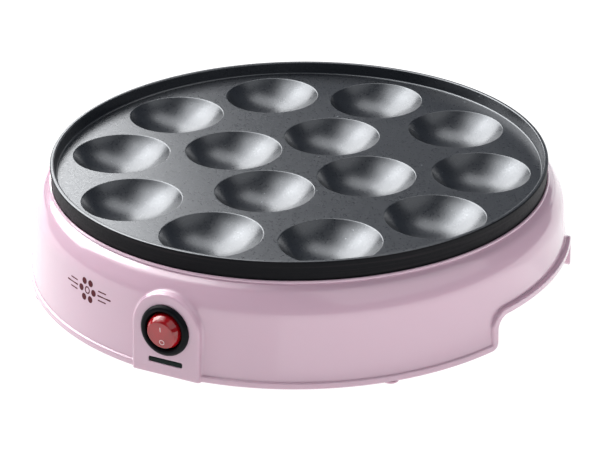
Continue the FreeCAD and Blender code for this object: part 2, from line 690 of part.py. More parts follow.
tapped("fixing_hole", d["plate_boss_ring"], 2.05, d["tray_floor_z"] + d["tray_gauge"], 10.5, 5, 0)
vol = volume_step(pb, "fixing holes", vol, -1)
tapped("clamp_hole", d["clamp_ring"], 1.55, d["clamp_z"], 6.5, 4, 45)
tapped("sensor_hole", d["stat_ear_ring"], 1.55, d["stat_pad_z"] - 2.0, 6.0, 2, 45)
vol = volume_step(pb, "tapped holes", vol, -1)
node("baking_plate", pb)

turned("plate_screws", screw_outline(d["tray_floor_z"], 4.0, 2.8, 2.0, 10.0),
       d["plate_boss_ring"], 5, 0.0)

# ============================================================== heat shield
tb = new_body("heat_shield_body")
sk = new_sketch(tb, "tray_outline", "XZ")
t0, tg = d["tray_floor_z"], d["tray_gauge"]
tw, tf, tz = d["tray_wall_radius"], d["tray_flange_radius"], d["tray_flange_z"]
polygon(sk, [(0, t0), (tw - 1.5, t0), (tw, t0 + 1.5), (tw, tz), (tf, tz), (tf, tz + tg),
             (tw - tg, tz + tg), (tw - tg, t0 + 1.8), (tw - 1.8, t0 + tg), (0, t0 + tg)])
revolve(tb, "tray_pressing", sk)
doc.recompute()
vol = tb.Shape.Volume
sk = new_sketch(tb, "tray_holes_outline", "XY", (0, 0, t0 - 1))
circle(sk, 0, 0, 9.6, "stat")
gap = math.radians(val(d["element_gap_deg"]))
bend = 9.0
leg_x = d["element_ring"] * math.sin(gap) - bend * math.cos(gap)
leg_y = d["element_ring"] * math.cos(gap) + bend * math.sin(gap)
circle(sk, leg_x, leg_y, 4.6, "leg_a")
circle(sk, -leg_x, leg_y, 4.6, "leg_b")
circle(sk, 0, 30, 2.05, "earth")
circle(sk, 0, -46.6, 1.25, "rivet_a")
circle(sk, 0, -33.4, 1.25, "rivet_b")
feature(tb, "Pocket", "tray_holes", sk, Length=4.0, Reversed=True)
vol = volume_step(tb, "tray holes", vol, -1)
sk = new_sketch(tb, "tray_fixing_outline", "XY", (0, 0, t0 - 1))
circle(sk, d["plate_boss_ring"], 0, 2.2)
th = feature(tb, "Pocket", "tray_fixing_hole", sk, Length=4.0, Reversed=True)
polar(tb, "tray_fixing_holes", th, 5)
vol = volume_step(tb, "tray fixing holes", vol, -1)
node("heat_shield", tb)

# ================================================================== element
er, ez, ring_r = val(d["element_radius"]), val(d["element_z"]), val(d["element_ring"])


def sheath_path():
    a0 = math.pi / 2 + gap
    a1 = math.pi / 2 - gap + 2 * math.pi
    ring = Part.Arc(V(ring_r * math.cos(a0), ring_r * math.sin(a0), ez),
                    V(0, -ring_r, ez),
                    V(ring_r * math.cos(a1), ring_r * math.sin(a1), ez)).toShape()
    parts = []
    for s, a in ((-1, a0), (1, a1)):
        p = V(ring_r * math.cos(a), ring_r * math.sin(a), ez)
        t = V(-s * math.cos(gap), math.sin(gap), 0)
        q = p + t * bend + V(0, 0, -bend)
        m = p + t * (bend * math.sin(math.pi / 4)) + V(0, 0, -bend * (1 - math.cos(math.pi / 4)))
        down = V(q.x, q.y, val(d["element_drop_z"]))
        parts.append((Part.Arc(p, m, q).toShape(), Part.LineSegment(q, down).toShape()))
    (la, ll), (ra, rl) = parts
    return Part.Wire(Part.__sortEdges__([ll, la, ring, ra, rl]))


def sweep(wire, radius):
    e = wire.OrderedEdges[0]
    v0 = wire.OrderedVertexes[0].Point
    first = e.FirstParameter if e.valueAt(e.FirstParameter).distanceToPoint(v0) < 1e-6 else e.LastParameter
    t = e.tangentAt(first)
    prof = Part.Wire([Part.Circle(v0, t, radius).toShape()])
    return wire.makePipeShell([prof], True, True)


def bent_path(points):
    """Straight runs joined by tangent arcs, each as large as its runs allow."""
    pts = [V(*p) for p in points]
    edges, here, radii = [], pts[0], []
    for k in range(1, len(pts) - 1):
        a, b, c = pts[k - 1], pts[k], pts[k + 1]
        u, w = (b - a), (c - b)
        short = min(u.Length, w.Length)
        u.normalize()
        w.normalize()
        turn = u.getAngle(w)
        if turn < 1e-4:
            continue
        cut_len = 0.45 * short
        r = cut_len / math.tan(turn / 2)
        radii.append(r)
        p, q = b - u * cut_len, b + w * cut_len
        bis = (w - u)
        bis.normalize()
        centre = b + bis * (r / math.cos(turn / 2))
        mid = centre - bis * r
        if here.distanceToPoint(p) > 1e-6:
            edges.append(Part.LineSegment(here, p).toShape())
        edges.append(Part.Arc(p, mid, q).toShape())
        here = q
    edges.append(Part.LineSegment(here, pts[-1]).toShape())
    return Part.Wire(edges), radii


eh = doc.addObject("Part::Feature", "heating_element")
eh.Shape = sweep(sheath_path(), er)
node("heating_element", eh)

lx, ly = leg_x, leg_y
drop = d["element_drop_z"]
ins, pins = [], []
for s, side in ((-1, "left"), (1, "right")):
    bead = rod("insulator_%s_bead" % side, 3.0, 3.0, (lx * s, ly, drop - 3.0))
    bore = rod("insulator_%s_bore" % side, 1.3, 5.0, (lx * s, ly, drop - 4.0))
    ins.append(cut("insulator_" + side, bead, bore))
    stem = rod("pin_%s_stem" % side, 1.2, drop - 19.1, (lx * s, ly, 19.1))
    tab = box("pin_%s_tab" % side, (11.6, 6.3, 0.8),
              (lx * s - 1.2 if s > 0 else lx * s + 1.2 - 11.6, ly - 3.15, 19.1))
    pins.append(fuse("pin_" + side, [stem, tab]))
node("element_insulators", group("insulator_pair", ins))
node("element_pins", group("pin_pair", pins))

# clamps: flat straps that hold the element up in its groove
kb = new_body("element_clamps_body")
sk = new_sketch(kb, "clamp_outline", "XY", (0, 0, d["clamp_z"] - 1.0))
polygon(sk, [(d["clamp_ring"] - 4, -4), (d["element_ring"] + 4, -4),
             (d["element_ring"] + 4, 4), (d["clamp_ring"] - 4, 4)])
c1 = feature(kb, "Pad", "clamp", sk, Length=1.0)
sk = new_sketch(kb, "clamp_hole_outline", "XY", (0, 0, d["clamp_z"] - 2.0))
circle(sk, d["clamp_ring"], 0, 1.7)
c2 = feature(kb, "Pocket", "clamp_bore", sk, Length=4.0, Reversed=True)
polar(kb, "clamps", [c1, c2], 4)
kb.Placement = FreeCAD.Placement(V(0, 0, 0), FreeCAD.Rotation(V(0, 0, 1), 45.0))
node("element_clamps", kb)
turned("clamp_screws", screw_outline(d["clamp_z"] - 1.0, 2.8, 2.0, 1.5, 7.0),
       d["clamp_ring"], 4, 45.0)

# =============================================================== thermostat
sz = d["stat_pad_z"]
cap = rod("stat_cap_disc", 8.2, 4.0, (0, 0, sz - 4.0))
ear = box("stat_ear_strap", (31.0, 7.0, 1.0), (-15.5 * S45 + 3.5 * S45, -15.5 * S45 - 3.5 * S45, sz - 3.0),
          FreeCAD.Rotation(V(0, 0, 1), 45))
capf = fuse("stat_cap_blank", [cap, ear])
eh1 = rod("stat_ear_hole_a", 1.7, 4.0, (d["stat_ear_ring"] * S45, d["stat_ear_ring"] * S45, sz - 5.0))
eh2 = rod("stat_ear_hole_b", 1.7, 4.0, (d["stat_ear_ring"] * -S45, d["stat_ear_ring"] * -S45, sz - 5.0))
node("thermostat_cap", cut("stat_cap", capf, fuse("stat_ear_holes", [eh1, eh2])))
statb = rod("stat_body_disc", 7.6, 9.0, (0, 0, sz - 13.0))
sl = box("stat_slot", (40.0, 6.5, 1.0), (-20.0, -3.25, 28.0))
node("thermostat_body", cut("stat_body", statb, sl))
ta = box("stat_tab_a", (10.0, 6.3, 0.8), (5.0, -3.15, 28.1))
tb2 = box("stat_tab_b", (10.0, 6.3, 0.8), (-15.0, -3.15, 28.1))
node("thermostat_terminals", group("stat_tabs", [ta, tb2]))
turned("thermostat_screws", screw_outline(sz - 3.0, 2.8, 2.0, 1.5, 6.0),
       d["stat_ear_ring"], 2, 45.0)

# ============================================================= thermal fuse
fz, fy = 28.2, -40.0
fb = rod("fuse_barrel", 1.9, 12.0, (-6.0, fy, fz), ALONG_X)
fl = rod("fuse_leads", 0.5, 30.0, (-15.0, fy, fz), ALONG_X)
node("thermal_fuse", fuse("fuse", [fb, fl]))
s1 = rod("sleeve_outer", 3.1, 46.0, (-23.0, fy, fz), ALONG_X)
s2 = rod("sleeve_inner", 2.3, 48.0, (-24.0, fy, fz), ALONG_X)
node("fuse_sleeve", cut("sleeve", s1, s2))
ferr = []
for s, side in ((-1, "left"), (1, "right")):
    o = rod("ferrule_%s_outer" % side, 1.5, 7.0, (12.0 if s > 0 else -19.0, fy, fz), ALONG_X)
    i = rod("ferrule_%s_inner" % side, 0.55, 4.0, (11.0 if s > 0 else -15.0, fy, fz), ALONG_X)
    ferr.append(cut("ferrule_" + side, o, i))
node("fuse_ferrules", group("ferrules", ferr))
st = new_body("fuse_clip_body")
sk = new_sketch(st, "clip_outline", "YZ", (0, 0, -4.0))
hz0 = d["tray_floor_z"]
polygon(sk, [(fy - 9.0, hz0), (fy - 9.0, hz0 - 0.6), (fy - 4.0, hz0 - 0.6), (fy - 4.0, fz - 2.2),
             (fy - 2.3, fz - 3.9), (fy + 2.3, fz - 3.9), (fy + 4.0, fz - 2.2), (fy + 4.0, hz0 - 0.6),
             (fy + 9.0, hz0 - 0.6), (fy + 9.0, hz0), (fy + 3.35, hz0), (fy + 3.35, fz - 1.9),
             (fy + 1.95, fz - 3.25), (fy - 1.95, fz - 3.25), (fy - 3.35, fz - 1.9), (fy - 3.35, hz0)])
feature(st, "Pad", "clip_strap", sk, Length=8.0)
sk = new_sketch(st, "clip_holes_outline", "XY", (0, 0, hz0 - 2.0))
circle(sk, 0, fy - 6.6, 1.25, "rivet_a")
circle(sk, 0, fy + 6.6, 1.25, "rivet_b")
feature(st, "Pocket", "clip_holes", sk, Length=4.0, Reversed=True)
node("fuse_clip", st)
rivets = []
for k, ry in enumerate((fy - 6.6, fy + 6.6)):
    rivets.append(fuse("rivet_%d" % k, [
        rod("rivet_%d_low" % k, 2.0, 0.9, (0, ry, hz0 - 1.5)),
        rod("rivet_%d_shank" % k, 1.2, 1.6, (0, ry, hz0 - 0.7)),
        rod("rivet_%d_high" % k, 2.0, 0.9, (0, ry, hz0 + 0.8))]))
node("clip_rivets", group("rivet_pair", rivets))

# ==================================================== earth tag on the tray
tagd = rod("tag_disc", 4.0, 0.8, (0, 30, hz0 - 0.8))
tagh = rod("tag_hole", 2.15, 3.0, (0, 30, hz0 - 2.0))
tagn = box("tag_neck", (3.0, 5.0, 0.8), (-1.5, 33.0, hz0 - 0.8))
tagc = cut("tag_ring", fuse("tag_plate", [tagd, tagn]), tagh)
tagb = rod("tag_crimp", 1.5, 5.0, (0, 37.0, hz0 - 1.5), ALONG_Y)
node("earth_tag", fuse("tag", [tagc, tagb]))
eb = turned("earth_screw", screw_outline(hz0 - 0.8, 3.6, 2.6, 2.0, 4.2), Q.of(0.0), 1, 0.0)
eb.Placement = FreeCAD.Placement(V(0, 30, 0), FreeCAD.Rotation())
nut = doc.addObject("Part::Prism", "nut_blank")
nut.Polygon = 6
nut.Circumradius = 4.0
nut.Height = 2.4
place(nut, (0, 30, hz0 + 0.8))
node("earth_nut", cut("nut", nut, rod("nut_bore", 2.05, 4.0, (0, 30, hz0))))

# ===================================================================== feet
fb = new_body("feet_body")
sk = new_sketch(fb, "foot_outline", "XZ", (d["foot_ring"], 0, 0))
fr, lz = d["foot_radius"], d["lip_foot_z"]
polygon(sk, [(0, 0), (fr - 1.3, 0), (fr - 0.35, 0.5), (fr, lz), (d["foot_stem"], lz),
             (d["foot_stem"], lz + d["foot_stem_length"]), (0, lz + d["foot_stem_length"])])
foot = revolve(fb, "foot", sk)
polar(fb, "feet_set", foot, 4)
fb.Placement = FreeCAD.Placement(V(0, 0, 0), FreeCAD.Rotation(V(0, 0, 1), 45.0))
node("feet", fb)

# ============================================================= lead bushing
gb = new_body("lead_bushing_body")
sk = new_sketch(gb, "bushing_outline", "XZ")
gy0, gy1 = d["gland_seat_y"], d["gland_face_y"]
gr, gbr = d["gland_bore"], d["gland_barrel"]
polygon(sk, [(gr, 116.0), (gbr - 0.6, 116.0), (gbr, 117.0), (gbr, 119.2), (gbr + 0.9, 120.0),
             (gbr + 0.9, gy0 - 4.5), (gbr, gy0 - 4.5), (gbr, gy0), (9.4, gy0), (9.4, gy1 - 0.6),
             (8.8, gy1), (gr, gy1)])
revolve(gb, "bushing", sk)
gb.Placement = FreeCAD.Placement(V(0, 0, val(d["gland_z"])), FreeCAD.Rotation(V(1, 0, 0), -90))
node("lead_bushing", gb)

# ============================================================ rocker switch
# built square to its own bezel, then set into the leaning panel
bd = d["barrel_depth"]
sb = new_body("switch_shell")
sk = new_sketch(sb, "switch_outline", "XZ")
polygon(sk, [
    (0, -bd), (d["barrel_radius"] - 0.5, -bd), (d["barrel_radius"], -bd + 0.5), (d["barrel_radius"], 0),
    (d["bezel_radius"], 0), (d["bezel_radius"], d["bezel_height"] * 0.45),
    (d["bezel_radius"] - 0.9, d["bezel_height"]), (d["rocker_bore"] + 0.5, d["bezel_height"]),
    (d["rocker_bore"], d["bezel_height"] - 0.7), (d["rocker_bore"], -bd + 3.0), (0, -bd + 3.0)])
shell = revolve(sb, "switch_turned", sk)
doc.recompute()
round_edges(sb, "bezel_round", shell,
            circle_edges(shell.Shape, val(d["bezel_radius"]), val(d["bezel_height"]) * 0.45), 0.6)
tools = [rod("bearing_bore", 1.25, 19.0, (-9.5, 0, -val(d["rocker_pivot"])), ALONG_X)]
for i in (-1, 0, 1):
    tools.append(box("blade_slot_%d" % (i + 1), (5.0, 1.0, 6.0),
                     (-2.5, i * val(d["terminal_pitch"]) - 0.5, -val(bd) - 1.0)))
catch = [box("catch_left", (1.2, 6.0, 3.6), (-10.8, -3.0, -6.0)),
         box("catch_right", (1.2, 6.0, 3.6), (9.6, -3.0, -6.0))]
swb = cut("switch_bored", fuse("switch_with_catches", [sb] + catch), fuse("switch_tools", tools))
swb.Placement = PANEL
node("switch_body", swb)

# rocker: a zone of a ball about its own pivot, cut flat at the face
piv = val(d["rocker_pivot"])
ROCK = PANEL.multiply(FreeCAD.Placement(V(0, 0, -piv), FreeCAD.Rotation(V(1, 0, 0), val(d["rocker_tilt"]))))
rr, rf = val(d["rocker_radius"]), val(d["rocker_face"])


def zone(name, radius, low, high):
    s = doc.addObject("Part::Sphere", name)
    s.Radius = val(radius)
    bind(s, "Radius", radius)
    s.Angle1 = math.degrees(math.asin(low / val(radius)))
    s.Angle2 = math.degrees(math.asin(high / val(radius)))
    return s


ball_zone = zone("rocker_zone", d["rocker_radius"], -2.6, rf)
ball_hollow = zone("rocker_hollow", d["rocker_radius"] - 1.5, -2.6, rf - 1.5)
stem = rod("rocker_stem", 2.4, 8.9, (0, 0, -5.0))
spring_bore = rod("rocker_spring_bore", 1.35, 6.6, (0, 0, -5.5))
pin_a = rod("rocker_pin_a", 1.18, 2.7, (6.6, 0, 0), ALONG_X)
pin_b = rod("rocker_pin_b", 1.18, 2.7, (-9.3, 0, 0), ALONG_X)
rocker_raw = fuse("rocker_raw", [cut("rocker_cup", ball_zone, ball_hollow), stem, pin_a, pin_b])
rocker = cut("rocker_bored", rocker_raw, spring_bore)
doc.recompute()
face_r = math.sqrt(rr * rr - rf * rf)
soft = doc.addObject("Part::Fillet", "rocker_soft")
soft.Base = rocker
soft.Edges = [(int(n[4:]), 0.45, 0.45) for n in circle_edges(rocker.Shape, face_r, rf)]
soft.Placement = ROCK
node("switch_rocker", soft)

plunger = doc.addObject("Part::MultiFuse", "plunger")
tip = doc.addObject("Part::Sphere", "plunger_tip")
tip.Radius = 1.25
tip.Placement = FreeCAD.Placement(V(0, 0, -5.2), FreeCAD.Rotation())
plunger.Shapes = [rod("plunger_stem", 1.25, 2.7, (0, 0, -5.2)), tip]
plunger.Placement = ROCK
node("rocker_plunger", plunger)

sp = doc.addObject("Part::Feature", "rocker_spring")
coil_points = []
for k in range(41):
    turn = k * math.pi / 4
    coil_points.append((0.95 * math.cos(turn), 0.95 * math.sin(turn), 3.1 * k / 40))
coil = sweep(bent_path(coil_points)[0], 0.17)
sp.Shape = coil
sp.Placement = ROCK.multiply(FreeCAD.Placement(V(0, 0, -2.25), FreeCAD.Rotation()))
node("rocker_spring", sp)

# see-saw contact arm and its fixed terminals
ARM = PANEL.multiply(FreeCAD.Placement(V(0, 0, -val(d["arm_pivot"])), FreeCAD.Rotation(V(1, 0, 0), -val(d["arm_tilt"]))))
strip = box("arm_strip", (4.0, d["arm_half"] * 2, 0.6), (-2.0, -d["arm_half"], 0))
rivet = rod("arm_rivet", 1.0, 0.65, (0, -5.4, -0.6))
arm = fuse("arm", [strip, rivet])
arm.Placement = ARM
node("switch_contact_arm", arm)

bw, bg, tp = d["blade_width"], d["blade_gauge"], val(d["terminal_pitch"])
blades = []
for i, top in ((-1, -11.2), (0, -8.86), (1, -11.6)):
    b = box("blade_%d" % (i + 1), (bw, bg, top + 21.5), (-bw / 2, i * tp - bg / 2, -21.5))
    if i == -1:
        b = fuse("blade_contact", [b, rod("fixed_contact", 1.2, 0.75, (0, -5.5, -11.25))])
    blades.append(b)
blades = group("blades", blades)
blades.Placement = PANEL
node("switch_terminals", blades)

lamp = fuse("switch_neon", [rod("neon_glass", 1.4, 5.2, (5.4, 0, -11.4)),
                            rod("neon_tip", 0.5, 0.8, (5.4, 0, -6.3))])
lamp.Placement = PANEL
node("switch_lamp", lamp)

# ====================================================== ready light and lamp
ld = val(d["lens_drop"])
hl, hw = val(d["lens_length"]) / 2 - 0.1, val(d["lens_width"]) / 2 - 0.1
lens_bar = box("lens_bar", (hl * 2, hw * 2, 2.7), (-hl, -ld - hw, -2.6))
lens_flange = box("lens_flange", (18.6, 4.2, 0.95), (-9.3, -ld - 2.1, -3.25))
lens_raw = fuse("lens_raw", [lens_bar, lens_flange])
doc.recompute()
lens = doc.addObject("Part::Fillet", "lens")
lens.Base = lens_raw
picks = []
for i, e in enumerate(lens_raw.Shape.Edges, start=1):
    a, b = e.Vertexes[0].Point, e.Vertexes[-1].Point
    if abs(a.z - b.z) > 2.0 and max(a.z, b.z) > 0.05:
        picks.append((i, 0.7, 0.7))
lens.Edges = picks
lens.Placement = PANEL
node("indicator_lens", lens)
holder = cut("holder_cup", box("holder_block", (20.0, 5.0, 6.0), (-10.0, -ld - 2.5, -9.3)),
             box("holder_void", (17.0, 3.4, 6.0), (-8.5, -ld - 1.7, -8.3)))
hh = fuse("holder_lead_holes", [rod("holder_hole_a", 0.8, 3.0, (-6.5, -ld, -10.0)),
                                rod("holder_hole_b", 0.8, 3.0, (6.5, -ld, -10.0))])
holder = cut("holder", holder, hh)
holder.Placement = PANEL
node("lamp_holder", holder)
ilamp = rod("ready_neon", 1.3, 10.0, (-5.0, -ld, -5.6), ALONG_X)
ilamp.Placement = PANEL.multiply(FreeCAD.Placement(V(-5.0, -ld, -5.6), ALONG_X))
node("indicator_lamp", ilamp)

# =========================================================== terminal block
by, bz = d["block_y"], d["cover_z"] + d["cover_thick"]
bl, bdp, bh, bp = d["block_length"], d["block_depth"], d["block_height"], val(d["block_pitch"])
block = box("block_body", (bl, bdp, bh), (-bl / 2, by - bdp / 2, bz))
poles = [-1.5 * bp, -0.5 * bp, 0.5 * bp, 1.5 * bp]
wz = val(bz) + 6.0
bores = [rod("block_bore_%d" % i, 2.6, 20.0, (px, val(by) - 10, wz), ALONG_Y) for i, px in enumerate(poles)]
bores += [rod("block_well_%d" % i, 2.2, 8.0, (px, by, wz)) for i, px in enumerate(poles)]
node("terminal_block", cut("block", block, fuse("block_bores", bores)))
inserts, bscrews = [], []
for i, px in enumerate(poles):
    o = rod("insert_outer_%d" % i, 2.5, 12.0, (px, val(by) - 6, wz), ALONG_Y)
    v = rod("insert_void_%d" % i, 1.6, 14.0, (px, val(by) - 7, wz), ALONG_Y)
    t = rod("insert_tap_%d" % i, 1.25, 4.0, (px, by, wz))
    inserts.append(cut("insert_%d" % i, o, fuse("insert_cuts_%d" % i, [v, t])))
    bscrews.append(cut("block_screw_%d" % i, rod("block_screw_rod_%d" % i, 1.2, 4.2, (px, by, wz + 1.0)),
                       box("block_screw_slot_%d" % i, (3.0, 0.5, 0.8), (px - 1.5, val(by) - 0.25, wz + 4.6))))
node("terminal_inserts", group("inserts", inserts))
node("terminal_screws", group("block_screws", bscrews))

# ================================================================== wiring
conns = []


def connector(name, frame):
    """Push-on receptacle: sleeve round a blade from z = 0 to -7, crimp to -12."""
    o = box(name + "_sleeve", (6.6, 2.6, 7.0), (-3.3, -1.3, -7.0))
    v = box(name + "_mouth", (5.0 if "sw" in name else 6.4, 0.9, 6.6), (-2.5 if "sw" in name else -3.2, -0.45, -6.5))
    c = cut(name + "_shell", o, v)
    b = rod(name + "_crimp", 2.6, 5.0, (0, 0, -12.0))
    f = fuse(name, [c, b])
    f.Placement = frame
    conns.append(f)
    return frame.multVec(V(0, 0, -12.0)), frame.Rotation.multVec(V(0, 0, -1)), frame


def frame_at(at, out, wide):
    """Frame whose -Z runs along 'out' and whose X runs along 'wide'."""
    z = V(*out) * -1.0
    x = V(*wide)
    y = z.cross(x)
    m = FreeCAD.Matrix(x.x, y.x, z.x, at[0], x.y, y.y, z.y, at[1], x.z, y.z, z.z, at[2], 0, 0, 0, 1)
    return FreeCAD.Placement(m)


c_sw_load = connector("sw_load", PANEL.multiply(FreeCAD.Placement(V(0, -tp, -15.5), FreeCAD.Rotation())))
c_sw_live = connector("sw_live", PANEL.multiply(FreeCAD.Placement(V(0, 0, -15.5), FreeCAD.Rotation())))
c_sw_neut = connector("sw_neut", PANEL.multiply(FreeCAD.Placement(V(0, tp, -15.5), FreeCAD.Rotation())))
c_st_a = connector("stat_a", frame_at((8.6, 0, 28.5), (1, 0, 0), (0, 1, 0)))
c_st_b = connector("stat_b", frame_at((-8.6, 0, 28.5), (-1, 0, 0), (0, 1, 0)))
c_el_a = connector("el_a", frame_at((val(lx) + 4.0, val(ly), 19.5), (1, 0, 0), (0, 1, 0)))
c_el_b = connector("el_b", frame_at((-val(lx) - 4.0, val(ly), 19.5), (-1, 0, 0), (0, 1, 0)))
node("wire_connectors", group("connector_set", conns))


def tube(name, points, radius):
    """Solid of round section along a bent path."""
    wire, radii = bent_path(points)
    solid = sweep(wire, radius)
    want = math.pi * radius * radius * wire.Length
    if abs(solid.Volume - want) > 0.03 * want:
        raise RuntimeError("%s volume %.1f, wanted %.1f" % (name, solid.Volume, want))
    print("%-24s length %6.1f mm  least bend %5.1f mm" % (name, wire.Length, min(radii)))
    obj = doc.addObject("Part::Feature", name)
    obj.Shape = solid
    return node(name, obj)


def tup(v):
    return (v.x, v.y, v.z)


wr, lr = val(d["wire_radius"]), val(d["lead_radius"])
front = val(by) - 6.0


def run_from(conn, reach, shift=(0, 0, 0)):
    p, o, _ = conn
    s = p + V(*shift)
    return [tup(s), tup(s + o * reach)]


def run_to(conn, reach, shift=(0, 0, 0)):
    return list(reversed(run_from(conn, reach, shift)))


tube("wire_live", run_from(c_sw_live, 10) + [(20, -64, 13), (27, -30, 11), (27, 22, 11.5), (21, 58, 10.8),
     (poles[3], 76, wz), (poles[3], front, wz)], wr)
tube("wire_switched", run_from(c_sw_load, 9) + [(-14, -66, 15), (-31, -34, 23), (-37, -8, 28), (-34, 0, 28.5)]
     + run_to(c_st_b, 6)[1:], wr)
tube("wire_thermostat_fuse", run_from(c_st_a, 9, (0, -0.9, 0)) + [(40, -8, 28.4), (42, -26, 28.3), (36, -40, 28.2),
     (19.05, -40, 28.2)], wr)
tube("wire_fuse_heater", [(-19.05, -40, 28.2), (-36, -40, 28.2), (-48, -28, 28), (-51, 0, 26.5), (-50, 28, 23),
     (-46, 52, 20)] + run_to(c_el_b, 9), wr)
tube("wire_heater_neutral", run_from(c_el_a, 8) + [(39, 68, 19.5), (28, 77, 19), (8, 76, 17.5), (poles[1], 78, 12.2),
     (poles[1], front, wz)], wr)
tube("wire_lamp_neutral", run_from(c_sw_neut, 9) + [(-27, -72, 22), (-50, -40, 15), (-56, 4, 11), (-42, 50, 10.8),
     (poles[0], 74, wz), (poles[0], front, wz)], lr)
tube("wire_earth", [(poles[2], front, wz), (poles[2], 77, wz), (3, 64, 14), (0.6, 54, 24),
     (0, 47.5, hz0.value - 1.5), (0, 42.0, hz0.value - 1.5)], wr)
pl = PANEL.multVec(V(6.5, -ld, -9.4))
pr2 = PANEL.multVec(V(-6.5, -ld, -9.4))
tube("lamp_lead_live", [tup(pl), tup(pl + V(0, 9, 0)), (22, -92, 8), (38, -66, 9), (50, -30, 17), (50, -4, 26),
     (42, 3, 28.5)] + run_to(c_st_a, 5, (0, 1.85, 0))[1:], lr)
tube("lamp_lead_neutral", [tup(pr2), tup(pr2 + V(0, 9, 0)), (-13, -99, 9), (-16, -86, 13), (-13, -76, 22),
     (-5, -77, 27.5)] + run_to(c_sw_neut, 7, (1.85, 0, 0)), lr)

# ============================================================ check and write
doc.recompute()
faults = []
for obj in doc.Objects:
    if "Invalid" in obj.State or "Error" in obj.State:
        faults.append("%s %s" % (obj.Name, obj.State))
for label, obj in NODES.items():
    shape = obj.Shape
    if shape.isNull() or not shape.isValid() or not shape.Solids:
        faults.append("%s has a bad shape" % label)
if faults:
    raise RuntimeError("; ".join(faults))

os.makedirs("parts", exist_ok=True)
for label, obj in NODES.items():
    obj.Shape.exportStep("parts/%s.step" % label)
print("%d nodes written" % len(NODES))
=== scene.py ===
"""Looks for the mini pancake maker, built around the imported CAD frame.

Every visible shell is modelled here as a fine, closed surface in the CAD's own
place; the works inside keep their CAD solids with finished materials.
All working lengths are millimetres and become metres when a mesh is made.
"""

import math

import bmesh
import bpy
import numpy as np
from mathutils import Matrix, Vector
from mathutils.geometry import delaunay_2d_cdt


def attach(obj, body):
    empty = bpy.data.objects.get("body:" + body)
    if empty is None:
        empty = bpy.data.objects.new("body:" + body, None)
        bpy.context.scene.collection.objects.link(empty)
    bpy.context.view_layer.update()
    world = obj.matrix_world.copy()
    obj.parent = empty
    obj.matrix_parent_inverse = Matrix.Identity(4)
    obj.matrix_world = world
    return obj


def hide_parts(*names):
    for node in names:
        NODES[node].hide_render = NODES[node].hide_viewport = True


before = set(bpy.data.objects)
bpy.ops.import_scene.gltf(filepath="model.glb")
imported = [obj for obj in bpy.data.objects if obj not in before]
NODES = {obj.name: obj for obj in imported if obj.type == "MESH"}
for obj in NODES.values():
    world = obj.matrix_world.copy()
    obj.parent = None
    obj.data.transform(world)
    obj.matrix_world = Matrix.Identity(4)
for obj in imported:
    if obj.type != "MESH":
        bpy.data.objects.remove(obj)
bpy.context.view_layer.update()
TAU = 2 * math.pi


# =============================================================== mesh builders
class Build:
    """Collects patches given in millimetres and turns them into one mesh."""

    def __init__(self):
        self.v, self.f, self.n = [], [], 0

    def add(self, points, faces):
        p = np.asarray(points, float).reshape(-1, 3)
        self.v.append(p)
        base = self.n
        self.f.extend([tuple(int(i) + base for i in face) for face in faces])
        self.n += len(p)

    def grid(self, pts, wrap=False):
        """pts[i, j]: quads between neighbouring rows; wrap closes the j direction."""
        p = np.asarray(pts, float)
        r, c = p.shape[:2]
        faces = []
        for i in range(r - 1):
            for j in range(c if wrap else c - 1):
                k = (j + 1) % c
                faces.append((i * c + j, i * c + k, (i + 1) * c + k, (i + 1) * c + j))
        self.add(p, faces)

    def lathe(self, profile, centre=(0, 0, 0), count=96, axis_end=(False, False)):
        """Revolves (r, z) points about a vertical axis through centre."""
        a = np.arange(count) * TAU / count
        prof = np.asarray(profile, float)
        pts = np.stack([np.outer(prof[:, 0], np.cos(a)), np.outer(prof[:, 0], np.sin(a)),
                        np.outer(prof[:, 1], np.ones(count))], -1) + np.array(centre)
        self.grid(pts, wrap=True)
        for end, row in ((axis_end[0], 0), (axis_end[1], -1)):
            if end:
                ring = pts[row]
                mid = np.array([[centre[0], centre[1], ring[0, 2]]])
                self.add(np.vstack([mid, ring]),
                         [(0, 1 + j, 1 + (j + 1) % count) for j in range(count)])

    def object(self, name, material, merge=4e-6, frame_matrix=None):
        v = np.vstack(self.v) * 0.001
        mesh = bpy.data.meshes.new(name)
        mesh.from_pydata(v.tolist(), [], self.f)
        if frame_matrix is not None:
            mesh.transform(frame_matrix)
        bm = bmesh.new()
        bm.from_mesh(mesh)
        bmesh.ops.remove_doubles(bm, verts=bm.verts, dist=merge)
        bmesh.ops.dissolve_degenerate(bm, edges=bm.edges, dist=1e-7)
        bmesh.ops.recalc_face_normals(bm, faces=bm.faces)
        bm.to_mesh(mesh)
        bm.free()
        return finish_mesh(name, mesh, material)


def finish_mesh(name, mesh, material, sharp=38.0):
    mesh.shade_smooth()
    mesh.set_sharp_from_angle(angle=math.radians(sharp))
    obj = bpy.data.objects.new(name, mesh)
    bpy.context.scene.collection.objects.link(obj)
    if material is not None:
        mesh.materials.append(material)
    w = obj.modifiers.new("even_normals", "WEIGHTED_NORMAL")
    w.mode = "FACE_AREA"
    w.weight = 50
    w.keep_sharp = True
    return obj


